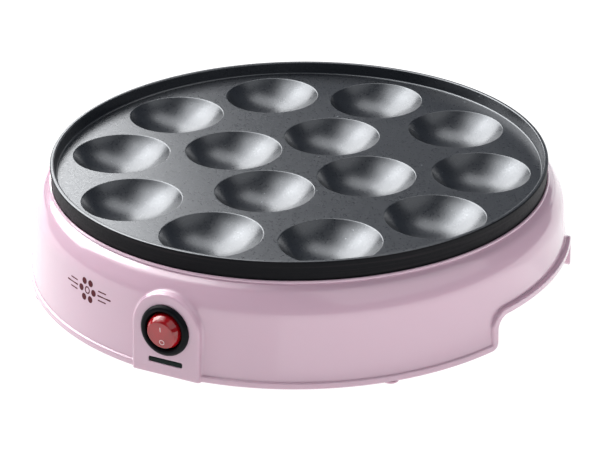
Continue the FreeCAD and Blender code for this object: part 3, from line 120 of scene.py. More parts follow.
def rounded(points, step_deg=9.0):
    """Polyline (x, y, radius) with its corners turned into tangent arcs."""
    out = []
    n = len(points)
    for i, (x, y, r) in enumerate(points):
        p = np.array([x, y], float)
        if r <= 0 or i in (0, n - 1):
            out.append(p)
            continue
        a = np.array(points[i - 1][:2], float) - p
        b = np.array(points[i + 1][:2], float) - p
        la, lb = np.linalg.norm(a), np.linalg.norm(b)
        a, b = a / la, b / lb
        half = math.acos(max(-1, min(1, float(a @ b)))) / 2
        cut = r / math.tan(half)
        if cut > 0.49 * min(la, lb):
            cut = 0.49 * min(la, lb)
            r = cut * math.tan(half)
        mid = (a + b) / np.linalg.norm(a + b)
        c = p + mid * (r / math.sin(half))
        s, e = p + a * cut, p + b * cut
        a0 = math.atan2(*(s - c)[::-1])
        a1 = math.atan2(*(e - c)[::-1])
        d = (a1 - a0 + math.pi) % TAU - math.pi
        k = max(2, int(math.ceil(abs(math.degrees(d)) / step_deg)))
        for j in range(k + 1):
            t = a0 + d * j / k
            out.append(c + r * np.array([math.cos(t), math.sin(t)]))
    return np.array(out)


def split_long(poly, most):
    """Adds points on the runs of a polyline that are longer than most."""
    out = [poly[0]]
    for a, b in zip(poly[:-1], poly[1:]):
        k = max(1, int(math.ceil(np.linalg.norm(b - a) / most)))
        for j in range(1, k + 1):
            out.append(a + (b - a) * j / k)
    return np.array(out)


def inside(points, loop):
    """Even-odd test of many points against one closed loop."""
    x, y = points[:, 0], points[:, 1]
    hit = np.zeros(len(points), bool)
    lx, ly = loop[:, 0], loop[:, 1]
    mx, my = np.roll(lx, -1), np.roll(ly, -1)
    for ax, ay, bx, by in zip(lx, ly, mx, my):
        if ay == by:
            continue
        cross = ((ay > y) != (by > y)) & (x < (bx - ax) * (y - ay) / (by - ay) + ax)
        hit ^= cross
    return hit


def near_loop(points, loop, reach):
    """True for points closer to the loop's own points than reach."""
    close = np.zeros(len(points), bool)
    for k in range(0, len(loop), 64):
        part = loop[k:k + 64]
        d = (points[:, None, 0] - part[None, :, 0]) ** 2 + (points[:, None, 1] - part[None, :, 1]) ** 2
        close |= d.min(1) < reach * reach
    return close


def fill(outer, holes, extra, clear=0.55):
    """Triangles of the region inside outer and outside holes.

    Returns the flat points, the source index of each (or -1), and the faces.
    """
    loops = [np.asarray(outer, float)] + [np.asarray(h, float) for h in holes]
    pts, edges, start = [], [], 0
    for loop in loops:
        n = len(loop)
        pts.append(loop)
        edges += [(start + i, start + (i + 1) % n) for i in range(n)]
        start += n
    extra = np.asarray(extra, float)
    if len(extra):
        keep = inside(extra, loops[0])
        for h in loops[1:]:
            keep &= ~inside(extra, h)
        extra = extra[keep]
        for loop in loops:
            extra = extra[~near_loop(extra, loop, clear)]
        pts.append(extra)
    flat = np.vstack(pts)
    vo, eo, fo, ov, oe, of = delaunay_2d_cdt([Vector(p) for p in flat], edges, [], 0, 1e-7)
    uv = np.array([tuple(p) for p in vo])
    source = np.array([o[0] if len(o) else -1 for o in ov])
    tri = np.array([t for t in fo if len(t) == 3], int)
    mid = uv[tri].mean(1)
    ok = inside(mid, loops[0])
    for h in loops[1:]:
        ok &= ~inside(mid, h)
    return uv, source, tri[ok]


# ================================================================== materials
def srgb(r, g, b):
    def lin(c):
        c /= 255.0
        return c / 12.92 if c <= 0.04045 else ((c + 0.055) / 1.055) ** 2.4
    return (lin(r), lin(g), lin(b), 1.0)


class Mat:
    """A small helper round one node tree."""

    def __init__(self, name):
        self.m = bpy.data.materials.new(name)
        self.m.use_nodes = True
        self.t = self.m.node_tree
        self.t.nodes.clear()
        self.out = self.t.nodes.new("ShaderNodeOutputMaterial")
        self.b = self.t.nodes.new("ShaderNodeBsdfPrincipled")
        self.link(self.b.outputs[0], self.out.inputs["Surface"])
        self.coord = self.t.nodes.new("ShaderNodeTexCoord").outputs["Object"]

    def link(self, a, b):
        self.t.links.new(a, b)

    def set(self, **kw):
        for key, value in kw.items():
            self.b.inputs[key.replace("_", " ")].default_value = value
        return self

    def noise(self, scale, detail=2.0, rough=0.5, stretch=None, kind="ShaderNodeTexNoise"):
        n = self.t.nodes.new(kind)
        n.inputs["Scale"].default_value = scale
        if "Detail" in n.inputs:
            n.inputs["Detail"].default_value = detail
        if "Roughness" in n.inputs:
            n.inputs["Roughness"].default_value = rough
        src = self.coord
        if stretch:
            mp = self.t.nodes.new("ShaderNodeMapping")
            mp.inputs["Scale"].default_value = stretch
            self.link(src, mp.inputs["Vector"])
            src = mp.outputs[0]
        self.link(src, n.inputs["Vector"])
        return n

    def ramp(self, value, stops):
        r = self.t.nodes.new("ShaderNodeValToRGB")
        e = r.color_ramp.elements
        while len(e) < len(stops):
            e.new(0.5)
        for item, (pos, col) in zip(e, stops):
            item.position = pos
            item.color = col if len(col) == 4 else (*col, 1)
        self.link(value, r.inputs[0])
        return r.outputs[0]

    def span(self, value, lo, hi, a=0.0, b=1.0):
        n = self.t.nodes.new("ShaderNodeMapRange")
        for k, x in zip(("From Min", "From Max", "To Min", "To Max"), (lo, hi, a, b)):
            n.inputs[k].default_value = x
        self.link(value, n.inputs["Value"])
        return n.outputs[0]

    def bump(self, height, strength, distance, normal=None):
        n = self.t.nodes.new("ShaderNodeBump")
        n.inputs["Strength"].default_value = strength
        n.inputs["Distance"].default_value = distance
        self.link(height, n.inputs["Height"])
        if normal is not None:
            self.link(normal, n.inputs["Normal"])
        return n.outputs[0]

    def mix(self, fac, a, b, mode="MIX"):
        n = self.t.nodes.new("ShaderNodeMix")
        n.data_type = "RGBA"
        n.blend_type = mode
        for sock, x in ((n.inputs[6], a), (n.inputs[7], b)):
            if isinstance(x, tuple):
                sock.default_value = x
            else:
                self.link(x, sock)
        if isinstance(fac, (int, float)):
            n.inputs[0].default_value = fac
        else:
            self.link(fac, n.inputs[0])
        return n.outputs[2]

    def math(self, op, a, b=None):
        n = self.t.nodes.new("ShaderNodeMath")
        n.operation = op
        for i, x in enumerate((a, b)):
            if x is None:
                continue
            if isinstance(x, (int, float)):
                n.inputs[i].default_value = x
            else:
                self.link(x, n.inputs[i])
        return n.outputs[0]

    def edge(self, radius=0.0006, samples=4):
        """1 along worn edges, from the turn between the face and a bevelled normal."""
        bev = self.t.nodes.new("ShaderNodeBevel")
        bev.samples = samples
        bev.inputs["Radius"].default_value = radius
        geo = self.t.nodes.new("ShaderNodeNewGeometry")
        dot = self.t.nodes.new("ShaderNodeVectorMath")
        dot.operation = "DOT_PRODUCT"
        self.link(bev.outputs[0], dot.inputs[0])
        self.link(geo.outputs["Normal"], dot.inputs[1])
        return self.span(dot.outputs["Value"], 1.0, 0.9)


def moulded(name, colour, rough=0.24, coat=0.0, grain=900.0, grain_depth=0.00001, vary=0.03,
            sss=0.0, spec=0.5):
    """Moulded plastic: slight flow variation, fine surface grain, faint orange peel."""
    m = Mat(name)
    flow = m.noise(9.0, 3.0, 0.55)
    dark = tuple(c * (1 - vary) for c in colour[:3]) + (1,)
    light = tuple(min(1, c * (1 + vary)) for c in colour[:3]) + (1,)
    m.link(m.mix(m.span(flow.outputs["Fac"], 0.35, 0.65), dark, light), m.b.inputs["Base Color"])
    peel = m.noise(grain, 2.0, 0.5)
    wave = m.noise(55.0, 1.0, 0.4)
    n1 = m.bump(wave.outputs["Fac"], 0.10, 0.00004)
    m.link(m.bump(peel.outputs["Fac"], 0.25, grain_depth, n1), m.b.inputs["Normal"])
    smear = m.noise(22.0, 4.0, 0.6)
    m.link(m.span(smear.outputs["Fac"], 0.3, 0.7, rough * 0.92, rough * 1.12), m.b.inputs["Roughness"])
    m.set(IOR=1.49)
    m.b.inputs["Specular IOR Level"].default_value = spec
    if coat:
        m.b.inputs["Coat Weight"].default_value = coat
        m.b.inputs["Coat Roughness"].default_value = 0.075
    if sss:
        m.b.inputs["Subsurface Weight"].default_value = sss
        m.b.inputs["Subsurface Radius"].default_value = (0.0030, 0.0016, 0.0018)
        m.b.inputs["Subsurface Scale"].default_value = 1.0
    return m.m


def metal(name, colour, rough=0.3, brush=(60, 60, 900), vary=0.06, depth=0.00002):
    m = Mat(name)
    line = m.noise(1.0, 4.0, 0.6, brush)
    blot = m.noise(45.0, 3.0, 0.5)
    dark = tuple(c * (1 - vary * 2) for c in colour[:3]) + (1,)
    m.link(m.mix(m.span(blot.outputs["Fac"], 0.3, 0.7), dark, tuple(colour[:3]) + (1,)), m.b.inputs["Base Color"])
    m.link(m.span(line.outputs["Fac"], 0.3, 0.7, rough * 0.8, rough * 1.3), m.b.inputs["Roughness"])
    m.link(m.bump(line.outputs["Fac"], 0.3, depth), m.b.inputs["Normal"])
    m.set(Metallic=1.0)
    return m.m


PINK = srgb(220, 185, 202)
pink = moulded("housing_pink", PINK, rough=0.22, coat=0.95, grain=1400.0, grain_depth=0.000006,
               vary=0.012, sss=0.12)
foot_pink = moulded("foot_vinyl", srgb(214, 170, 190), rough=0.42, grain=2600.0, vary=0.03)
black = moulded("satin_black", srgb(30, 31, 34), rough=0.38, grain=3200.0, grain_depth=0.00002, vary=0.10, spec=0.4)
black_bezel = moulded("bezel_black", srgb(12, 14, 18), rough=0.34, grain=2600.0, grain_depth=0.000012, vary=0.08, spec=0.10)
nylon = moulded("natural_nylon", srgb(226, 224, 214), rough=0.45, grain=2000.0, vary=0.02, sss=0.2)
steel_tray = metal("aluminised_steel", (0.62, 0.62, 0.61), 0.34, (8, 8, 8), 0.08)
sheath = metal("annealed_sheath", (0.27, 0.25, 0.235), 0.42, (300, 300, 300), 0.15)
nickel = metal("nickel_plate", (0.70, 0.67, 0.61), 0.22, (500, 500, 900), 0.05)
zinc = metal("zinc_screw", (0.66, 0.67, 0.69), 0.27, (700, 700, 200), 0.08)
alu = metal("bare_aluminium", (0.80, 0.80, 0.81), 0.30, (500, 500, 120), 0.05)
brass = metal("tinned_brass", (0.78, 0.62, 0.33), 0.26, (500, 500, 300), 0.08)
spring = metal("spring_wire", (0.52, 0.52, 0.53), 0.25, (400, 400, 900), 0.05)
ceramic = moulded("steatite", srgb(236, 230, 214), rough=0.5, grain=3000.0, vary=0.03)
brown = moulded("brown_insulation", srgb(116, 70, 44), rough=0.5, grain=2400.0, vary=0.05)
blue = moulded("blue_insulation", srgb(50, 98, 172), rough=0.5, grain=2400.0, vary=0.05)


def coating(name, base, rough, speck=True, spec=0.5, brushed_and_reflection=False, vary=0.10, ior=1.5):
    """Sprayed satin non-stick coating with fine stipple and sparse light flecks."""
    m = Mat(name)
    cloud = m.noise(28.0, 4.0, 0.6)
    lo = tuple(c * (1 - vary) for c in base[:3]) + (1,)
    hi = tuple(c * (1 + vary) for c in base[:3]) + (1,)
    col = m.mix(m.span(cloud.outputs["Fac"], 0.3, 0.7), lo, hi)
    stipple = m.noise(3200.0, 2.0, 0.6)
    grit = m.noise(1000.0, 1.0, 0.6)
    col = m.mix(m.span(stipple.outputs["Fac"], 0.55, 0.80, 0.0, 0.45), col,
                tuple(min(1, c * 1.9 + 0.004) for c in base[:3]) + (1,))
    if speck:
        v = m.t.nodes.new("ShaderNodeTexVoronoi")
        v.inputs["Scale"].default_value = 210.0
        m.link(m.coord, v.inputs["Vector"])
        gate = m.noise(95.0, 1.0, 0.5)
        dots = m.math("MULTIPLY", m.span(v.outputs["Distance"], 0.075, 0.045),
                      m.span(gate.outputs["Fac"], 0.60, 0.64))
        col = m.mix(m.math("MULTIPLY", dots, 0.7), col, (0.42, 0.46, 0.48, 1))
    m.link(col, m.b.inputs["Base Color"])
    m.link(m.span(grit.outputs["Fac"], 0.3, 0.7, rough * 0.86, rough * 1.12), m.b.inputs["Roughness"])
    n = m.bump(stipple.outputs["Fac"], 0.35, 0.000016)
    n = m.bump(grit.outputs["Fac"], 0.40, 0.000017, n)
    if brushed_and_reflection:
        line = m.noise(1.0, 3.0, 0.6, (6, 6, 1500))
        n = m.bump(line.outputs["Fac"], 0.45, 0.00006, n)
        # lighter reddish mauve streaks along the brushing: partly the side's real brushed grain, partly a painted
        # reflection of the pink housing
        streak_reflection = m.noise(1.0, 3.0, 0.65, (14, 14, 900))
        m.link(m.mix(m.span(streak_reflection.outputs["Fac"], 0.48, 0.72, 0.0, 0.8), col, (0.020, 0.016, 0.018, 1)), m.b.inputs["Base Color"])
    m.link(n, m.b.inputs["Normal"])
    m.set(IOR=ior)
    m.b.inputs["Specular IOR Level"].default_value = spec
    m.b.inputs["Specular Tint"].default_value = (0.92, 0.955, 1.0, 1)
    return m.m


plate_top = coating("nonstick_top", (0.0042, 0.0052, 0.0078), 0.31, True, 0.5, ior=1.95)
plate_side = coating("nonstick_side", (0.0050, 0.0050, 0.0062), 0.50, False, 0.10, True)
plate_under = coating("nonstick_under", (0.05, 0.052, 0.055), 0.5, False)


def lens_red():
    m = Mat("red_rocker")
    deep = m.noise(120.0, 2.0, 0.5)
    m.link(m.mix(m.span(deep.outputs["Fac"], 0.3, 0.7), srgb(150, 6, 16), srgb(178, 14, 26)), m.b.inputs["Base Color"])
    peel = m.noise(900.0, 2.0, 0.5)
    m.link(m.bump(peel.outputs["Fac"], 0.15, 0.000008), m.b.inputs["Normal"])
    m.link(m.span(deep.outputs["Fac"], 0.3, 0.7, 0.10, 0.14), m.b.inputs["Roughness"])
    m.set(IOR=1.5)
    m.b.inputs["Subsurface Weight"].default_value = 0.35
    m.b.inputs["Subsurface Radius"].default_value = (0.004, 0.0006, 0.0005)
    m.b.inputs["Coat Weight"].default_value = 0.6
    m.b.inputs["Coat Roughness"].default_value = 0.05
    return m.m


def clear_glass(name, tint):
    m = Mat(name)
    n = m.noise(200.0, 2.0, 0.5)
    m.link(m.mix(m.span(n.outputs["Fac"], 0.3, 0.7), tint, tuple(min(1, c * 1.05) for c in tint[:3]) + (1,)), m.b.inputs["Base Color"])
    m.link(m.bump(n.outputs["Fac"], 0.05, 0.00001), m.b.inputs["Normal"])
    m.set(Roughness=0.05, IOR=1.5)
    m.b.inputs["Transmission Weight"].default_value = 0.85
    return m.m


red = lens_red()
neon = clear_glass("neon_glass", (1.0, 0.80, 0.66, 1))
green_lens = moulded("dark_green_lens", srgb(4, 24, 22), rough=0.22, grain=1200.0, vary=0.15, spec=0.15)
white_print = moulded("white_mark", srgb(238, 206, 208), rough=0.35, grain=1500.0, vary=0.02)


def woven(name, colour):
    m = Mat(name)
    w = m.t.nodes.new("ShaderNodeTexWave")
    w.inputs["Scale"].default_value = 420.0
    w.inputs["Distortion"].default_value = 0.6
    w.bands_direction = "DIAGONAL"
    m.link(m.coord, w.inputs["Vector"])
    m.link(m.mix(w.outputs["Fac"], tuple(c * 0.75 for c in colour[:3]) + (1,), colour), m.b.inputs["Base Color"])
    m.link(m.bump(w.outputs["Fac"], 0.6, 0.0001), m.b.inputs["Normal"])
    m.set(Roughness=0.75)
    return m.m


def striped_earth():
    m = Mat("earth_insulation")
    w = m.t.nodes.new("ShaderNodeTexWave")
    w.inputs["Scale"].default_value = 95.0
    w.bands_direction = "X"
    m.link(m.coord, w.inputs["Vector"])
    m.link(m.ramp(w.outputs["Fac"], [(0.45, srgb(60, 130, 50)), (0.55, srgb(222, 200, 40))]), m.b.inputs["Base Color"])
    g = m.noise(2400.0, 2.0, 0.5)
    m.link(m.bump(g.outputs["Fac"], 0.3, 0.00001), m.b.inputs["Normal"])
    m.set(Roughness=0.5)
    return m.m


glass_sleeve = woven("glass_sleeve", srgb(228, 222, 204))
earth = striped_earth()

CAD_LOOKS = {
    "housing": pink, "base_cover": pink, "feet": foot_pink, "baking_plate": plate_top,
    "heat_shield": steel_tray, "heating_element": sheath, "element_insulators": ceramic,
    "element_pins": nickel, "element_clamps": steel_tray, "clamp_screws": zinc, "plate_screws": zinc,
    "base_screws": zinc, "thermostat_cap": alu, "thermostat_body": black, "thermostat_terminals": nickel,
    "thermostat_screws": zinc, "thermal_fuse": nickel, "fuse_sleeve": glass_sleeve, "fuse_ferrules": brass,
    "fuse_clip": steel_tray, "clip_rivets": alu, "earth_tag": nickel, "earth_screw": zinc, "earth_nut": zinc,
    "lead_bushing": black, "switch_body": black_bezel, "switch_rocker": red, "rocker_plunger": brass,
    "rocker_spring": spring, "switch_contact_arm": brass, "switch_terminals": brass, "switch_lamp": neon,
    "indicator_lens": green_lens, "lamp_holder": black, "indicator_lamp": neon, "terminal_block": nylon,
    "terminal_inserts": brass, "terminal_screws": zinc, "wire_connectors": brass, "wire_live": brown,
    "wire_switched": brown, "wire_thermostat_fuse": brown, "wire_fuse_heater": brown,
    "wire_heater_neutral": blue, "wire_lamp_neutral": blue, "wire_earth": earth,
    "lamp_lead_live": brown, "lamp_lead_neutral": blue,
}
for name, obj in NODES.items():
    look = CAD_LOOKS.get(name, black)
    obj.data.materials.clear()
    obj.data.materials.append(look)
    obj.data.shade_smooth()
    obj.data.set_sharp_from_angle(angle=math.radians(32))

# =============================================================== shared sizes
PLATE_R, FACE_Z, RIM_H = 114.5, 49.65, 5.8
PIT_R, PIT_D = 22.5, 10.0
LIP_R, LIP_H, LIP_Z = 126.5, 3.1, 1.5
TILT = math.radians(4.0)
PO = np.array([0.0, -125.7, 22.9])
PX = np.array([1.0, 0.0, 0.0])
PU = np.array([0.0, math.sin(TILT), math.cos(TILT)])
PN = np.array([0.0, -math.cos(TILT), math.sin(TILT)])
PANEL_MATRIX = Matrix(((1, 0, 0, 0), (0, PU[1], PN[1], PO[1] * 0.001), (0, PU[2], PN[2], PO[2] * 0.001), (0, 0, 0, 1)))

# ==================================================================== housing
wall = rounded([(125.752, 1.5, 0), (122.35, 36.4, 20.0), (117.9, 43.4, 8.0), (115.12, 45.0, 0.25),
                (114.68, 45.32, 0.14), (115.25, 45.85, 0.25), (115.2, 46.35, 0.25), (114.85, 46.75, 0.12),
                (114.3, 46.75, 0)], 5.0)
wall = split_long(wall, 1.6)
cut_row = int(np.argmin(np.abs(wall[:, 1] - 44.6)))
low, high = wall[:cut_row + 1], wall[cut_row:]
WALL_Z, WALL_R = low[:, 1], low[:, 0]
ARC = np.concatenate([[0], np.cumsum(np.linalg.norm(np.diff(low, axis=0), axis=1))])
U_SCALE = 122.0


def wall_r(z):
    return np.interp(z, WALL_Z, WALL_R)


def inner_r(z):
    return np.interp(z, [0.0, 1.5, 35.2, 39.8], [123.6, 123.55, 119.95, 116.0])


def lip_r(z):
    return np.interp(z, [1.5, 4.6, 24.0], [126.5, 126.45, 126.15])


# cross-section of the edge, from the inside wall, round the standing edge, to the outside wall
SECTION = [("in", d, 0.0) for d in (3.35, 2.2, 1.1, 0.3)]
SECTION += [("in", 0.3 * (1 - math.sin(a)), 0.3 * (1 - math.cos(a))) for a in np.radians([30, 60, 90])]
SECTION += [("mid", 0.0, 0.5)]
SECTION += [("lip", 0.7 * (1 - math.sin(a)), 0.7 * (1 - math.cos(a))) for a in np.radians([90, 72, 54, 36, 18, 0])]
SECTION += [("lip", d, 0.0) for d in (1.25, 1.8, 2.4)]
SECTION += [("lip", 2.4 + 0.7 * math.sin(a), 0.7 * (1 - math.cos(a))) for a in np.radians([18, 36, 54, 72, 90])]
SECTION += [("wall", 3.1 + 0.25 * (1 - math.cos(a)), 0.25 * (1 - math.sin(a))) for a in np.radians([0, 30, 60, 90])]
OUT0 = next(i for i, s in enumerate(SECTION) if s[0] == "lip")
LAST = len(SECTION) - 1


def section_r(kind, extra, z):
    if kind == "in":
        return inner_r(z) + extra
    if kind == "lip":
        return lip_r(z) - extra
    if kind == "mid":
        return (inner_r(z) + 0.3 + lip_r(z) - 0.7) / 2
    return wall_r(z) + extra


# outline of the edge: base circle, and an arched hand opening at each side
HALF, TOP, TOE, CORNER = 43.7, 16.6, 3.4, 5.5
arch = []          # (y, z, ny, nz) for the +X opening, y rising
for a in np.radians(np.linspace(0, 90, 9)):
    arch.append((-HALF - TOE + TOE * math.sin(a), LIP_Z + TOE - TOE * math.cos(a), -math.sin(a), math.cos(a)))
for z in np.linspace(LIP_Z + TOE, TOP - CORNER, 6)[1:-1]:
    arch.append((-HALF, z, -1.0, 0.0))
for a in np.radians(np.linspace(0, 90, 13)):
    arch.append((-HALF + CORNER - CORNER * math.cos(a), TOP - CORNER + CORNER * math.sin(a), -math.cos(a), math.sin(a)))
for y in np.linspace(-HALF + CORNER, 0, 30)[1:]:
    arch.append((y, TOP, 0.0, 1.0))
arch += [(-y, z, -ny, nz) for y, z, ny, nz in reversed(arch[:-1])]
arch = np.array(arch)

X_OUT, X_SIDE, X_FLAT = 17.95, 16.35, 14.8
phi_front = math.asin((X_OUT + 0.9) / 125.4)
phi_toe = math.acos((HALF + TOE) / 126.0)


def base_run(a, b):
    k = int(math.ceil(abs(b - a) * 126.0 / 1.5))
    return [("base", t) for t in np.linspace(a, b, k + 1)]


gap_phi = 1.2 / 126.0
right_half = (base_run(phi_front, phi_toe - gap_phi) + [("arch", 1.0, *p) for p in arch]
              + base_run(math.pi - phi_toe + gap_phi, math.pi))
left_half = [("base", -c[1]) if c[0] == "base" else ("arch", -1.0, *c[2:]) for c in reversed(right_half)]


def edge_point(col, kind, d, extra):
    if col[0] == "base":
        z = LIP_Z + d
        r = section_r(kind, extra, z)
        return (r * math.sin(col[1]), -r * math.cos(col[1]), z)
    _, sx, y, z, ny, nz = col
    y, z = y + ny * d, z + nz * d
    r = section_r(kind, extra, z)
    return (sx * math.sqrt(r * r - y * y), y, z)


# ------------------------------------------------------- raised switch panel
RAISE_R = 1.1
SIDE_T = np.linspace(0, 1, 9)
ROUND_A = np.radians(np.linspace(0, 90, 9))


def on_wall(base, radius):
    """Steps from points on the panel plane back along its normal to a wall of radius(z)."""
    h = np.full(len(base), -2.0)
    for _ in range(40):
        p = base + h[:, None] * PN
        f = np.hypot(p[:, 0], p[:, 1]) - radius(p[:, 2])
        h -= f * 0.9
    return h


def side_profile(h_at, face, side=0.05):
    """(lateral, height) points from the wall, up the panel's side, to its face."""
    foot, foot2 = h_at(side), h_at(side + 1.6)
    slope = (h_at(side + 1.65) - foot2) / 0.05
    rise = max(0.25, min(1.5, face - foot - 1.15))
    p2 = np.array([side + 1.6, foot2])
    c = np.array([side, foot2 - slope * 1.6])
    p0 = np.array([side, c[1] + rise])
    out = []
    for t in SIDE_T:
        out.append((1 - t) ** 2 * p2 + 2 * t * (1 - t) * c + t * t * p0)
    for a in ROUND_A:
        out.append(np.array([-RAISE_R * math.sin(a) + (side * (1 - a / (math.pi / 2))),
                             face - RAISE_R + RAISE_R * math.sin(a)])
                   if False else np.array([-RAISE_R + RAISE_R * math.cos(a), face - RAISE_R + RAISE_R * math.sin(a)]))
    out.append(np.array([X_FLAT - 16.3, face]))
    return np.array(out)


W0 = -17.91
band_cols = []      # (x, w, nx, nw) up the left leg, round the head, down the right leg
for w in np.linspace(W0, 0, 15)[:-1]:
    band_cols.append((-16.3, w, -1.0, 0.0))
for a in np.radians(np.linspace(180, 0, 61)):
    band_cols.append((16.3 * math.cos(a), 16.3 * math.sin(a), math.cos(a), math.sin(a)))
for w in np.linspace(0, W0, 15)[1:]:
    band_cols.append((16.3, w, 1.0, 0.0))
band = []
for x, w, nx, nw in band_cols:
    def h_at(delta):
        base = PO + (x + delta * nx) * PX + (w + delta * nw) * PU
        return float(on_wall(base[None, :], wall_r)[0])
    prof = side_profile(h_at, 0.0)
    band.append([PO + (x + q[0] * nx) * PX + (w + q[0] * nw) * PU + q[1] * PN for q in prof])
band = np.array(band)                       # [column, profile]
J = band.shape[1]
FACE_X = np.linspace(-X_FLAT, X_FLAT, 27)[1:-1]


def front_row(i):
    """Edge ring i across the front: left side, face, right side of the raised panel."""
    kind, d, extra = SECTION[i]
    z = LIP_Z + d
    if i == LAST:
        left, right = band[0], band[-1][::-1]
        t = (FACE_X + X_FLAT) / (2 * X_FLAT)
        mid = left[-1][None] * (1 - t[:, None]) + right[0][None] * t[:, None]
        return np.vstack([left, mid, right])
    cols = [-(16.3 + (q[0])) for q in side_profile(lambda s: -1.7, 0.0)]
    if i < OUT0:
        xs = np.concatenate([cols, FACE_X, [-c for c in cols[::-1]]])
        r = section_r(kind, extra, z)
        return np.stack([xs, -np.sqrt(r * r - xs * xs), np.full(len(xs), z)], -1)
    share = (i - OUT0) / (LAST - OUT0)
    way = np.array([0, -1.0, 0]) * (1 - share) + PN * share
    way /= np.linalg.norm(way)
    recess = extra if d < 0.75 else 0.0
    zz = LIP_Z + d if d < 2.5 else LIP_Z + 2.5 + 0.85 * (i - OUT0 - 8) / (LAST - OUT0 - 8)
    r_here = section_r(kind, extra, z)
    seat = np.array([16.35, -math.sqrt(r_here ** 2 - 16.35 ** 2), z])
    face = float((-recess - (seat - PO) @ PN) / (way @ PN))

    def h_at(delta):
        xx = 16.3 + delta
        return -(math.sqrt(r_here ** 2 - 16.35 ** 2) - math.sqrt(r_here ** 2 - xx * xx))
    foot, foot2 = h_at(0.05), h_at(1.65)
    slope = (h_at(1.70) - foot2) / 0.05
    rise = max(0.12, min(1.5, face - foot - 1.15))
    p2, c = np.array([1.65, foot2]), np.array([0.05, foot2 - slope * 1.6])
    p0 = np.array([0.05, c[1] + rise])
    prof = [(1 - t) ** 2 * p2 + 2 * t * (1 - t) * c + t * t * p0 for t in SIDE_T]
    rr = min(RAISE_R, max(0.3, face - p0[1]))
    prof += [np.array([-RAISE_R + RAISE_R * math.cos(a), face - rr + rr * math.sin(a)]) for a in ROUND_A]
    prof.append(np.array([X_FLAT - 16.3, face]))
    pts = np.array([seat + np.array([q[0] - 0.05, 0, 0]) + way * q[1] for q in prof])
    lift = np.linspace(0, 1, len(pts)) ** 0.5
    pts[:, 2] += (zz - z) * lift
    pts[:, 1] += 0.0
    right = pts[::-1]
    left = pts * np.array([-1, 1, 1])
    t = (FACE_X + X_FLAT) / (2 * X_FLAT)
    mid = left[-1][None] * (1 - t[:, None]) + right[0][None] * t[:, None]
    return np.vstack([left, mid, right])


house = Build()
rows = []
for i, (kind, d, extra) in enumerate(SECTION):
    ring = [edge_point(c, kind, d, extra) for c in left_half]
    ring += [tuple(p) for p in front_row(i)]
    ring += [edge_point(c, kind, d, extra) for c in right_half]
    rows.append(ring)
rows = np.array(rows)
house.grid(rows)
house.grid(band)


# ---------------------------------------------------------------- outside wall
def to_uv(p):
    phi = np.arctan2(p[:, 0], -p[:, 1])
    return np.stack([phi * U_SCALE, np.interp(p[:, 2], WALL_Z, ARC)], -1)


def from_uv(uv):
    phi, r, z = uv[:, 0] / U_SCALE, np.interp(uv[:, 1], ARC, WALL_R), np.interp(uv[:, 1], ARC, WALL_Z)
    return np.stack([r * np.sin(phi), -r * np.cos(phi), z], -1)


TOP_PHI = np.linspace(-math.pi, math.pi, 481)
nl, nr = len(left_half), len(right_half)
bottom3 = np.vstack([rows[LAST][:nl], band[:, 0], rows[LAST][-nr:]])
buv = to_uv(bottom3)
buv[0, 0], buv[-1, 0] = -math.pi * U_SCALE, math.pi * U_SCALE
low_arc = buv[0, 1]
side_v = ARC[(ARC > low_arc + 0.4)][:-1]
right_uv = np.stack([np.full(len(side_v), math.pi * U_SCALE), side_v], -1)
top_uv = np.stack([TOP_PHI[::-1] * U_SCALE, np.full(len(TOP_PHI), ARC[-1])], -1)
left_uv = np.stack([np.full(len(side_v), -math.pi * U_SCALE), side_v[::-1]], -1)
outer_loop = np.vstack([buv, right_uv, top_uv, left_uv])
loop3 = np.vstack([bottom3, from_uv(right_uv), from_uv(top_uv), from_uv(left_uv)])
uu = np.linspace(-math.pi, math.pi, 361)[1:-1] * U_SCALE
grid_uv = np.array([(u + (0.5 if k % 2 else 0) * (uu[1] - uu[0]), v) for k, v in enumerate(ARC[1:-1]) for u in uu])
uv, src, tri = fill(outer_loop, [], grid_uv, 0.7)
p3 = from_uv(uv)
known = (src >= 0) & (src < len(loop3))
p3[known] = loop3[src[known]]
house.add(p3, tri)

# ----------------------------------------------------------- face of the panel
BORE, SLOT_W, SLOT_H, SLOT_DROP = 10.1, 8.2, 1.2, 14.9


def slot_loop(grow, count=7, radius=0.75):
    r = radius + grow
    out = []
    for cx, cy, a0 in ((1, 1, 0), (-1, 1, 90), (-1, -1, 180), (1, -1, 270)):
        mx, my = cx * (SLOT_W - radius), cy * (SLOT_H - radius)
        for a in np.radians(np.linspace(a0, a0 + 90, count)):
            out.append((mx + r * math.cos(a), my - SLOT_DROP + r * math.sin(a)))
    return np.array(out)


def ring_loop(r, count=120):
    a = np.arange(count) * TAU / count
    return np.stack([r * np.cos(a), r * np.sin(a)], -1)


def panel3(xw, h):
    xw = np.asarray(xw, float)
    h = np.broadcast_to(h, (len(xw),))
    return PO + xw[:, :1] * PX + xw[:, 1:2] * PU + h[:, None] * PN


inner_curve = band[:, -1]
bottom_curve = rows[LAST][nl + J:nl + J + len(FACE_X)][::-1]
face3 = np.vstack([inner_curve, bottom_curve])
face_xw = np.stack([face3[:, 0], (face3 - PO) @ PU], -1)
hole_a, hole_b = ring_loop(BORE + 0.2), slot_loop(0.25)
gx, gy = np.meshgrid(np.arange(-15, 15.1, 1.3), np.arange(-18, 16, 1.3))
uv, src, tri = fill(face_xw, [hole_a, hole_b], np.stack([gx.ravel(), gy.ravel()], -1), 0.7)
f3 = panel3(uv, 0.0)
known = (src >= 0) & (src < len(face3))
f3[known] = face3[src[known]]
house.add(f3, tri)


def back_of(xw):
    base = panel3(xw, 0.0)
    h = on_wall(base, inner_r)
    return base + h[:, None] * PN


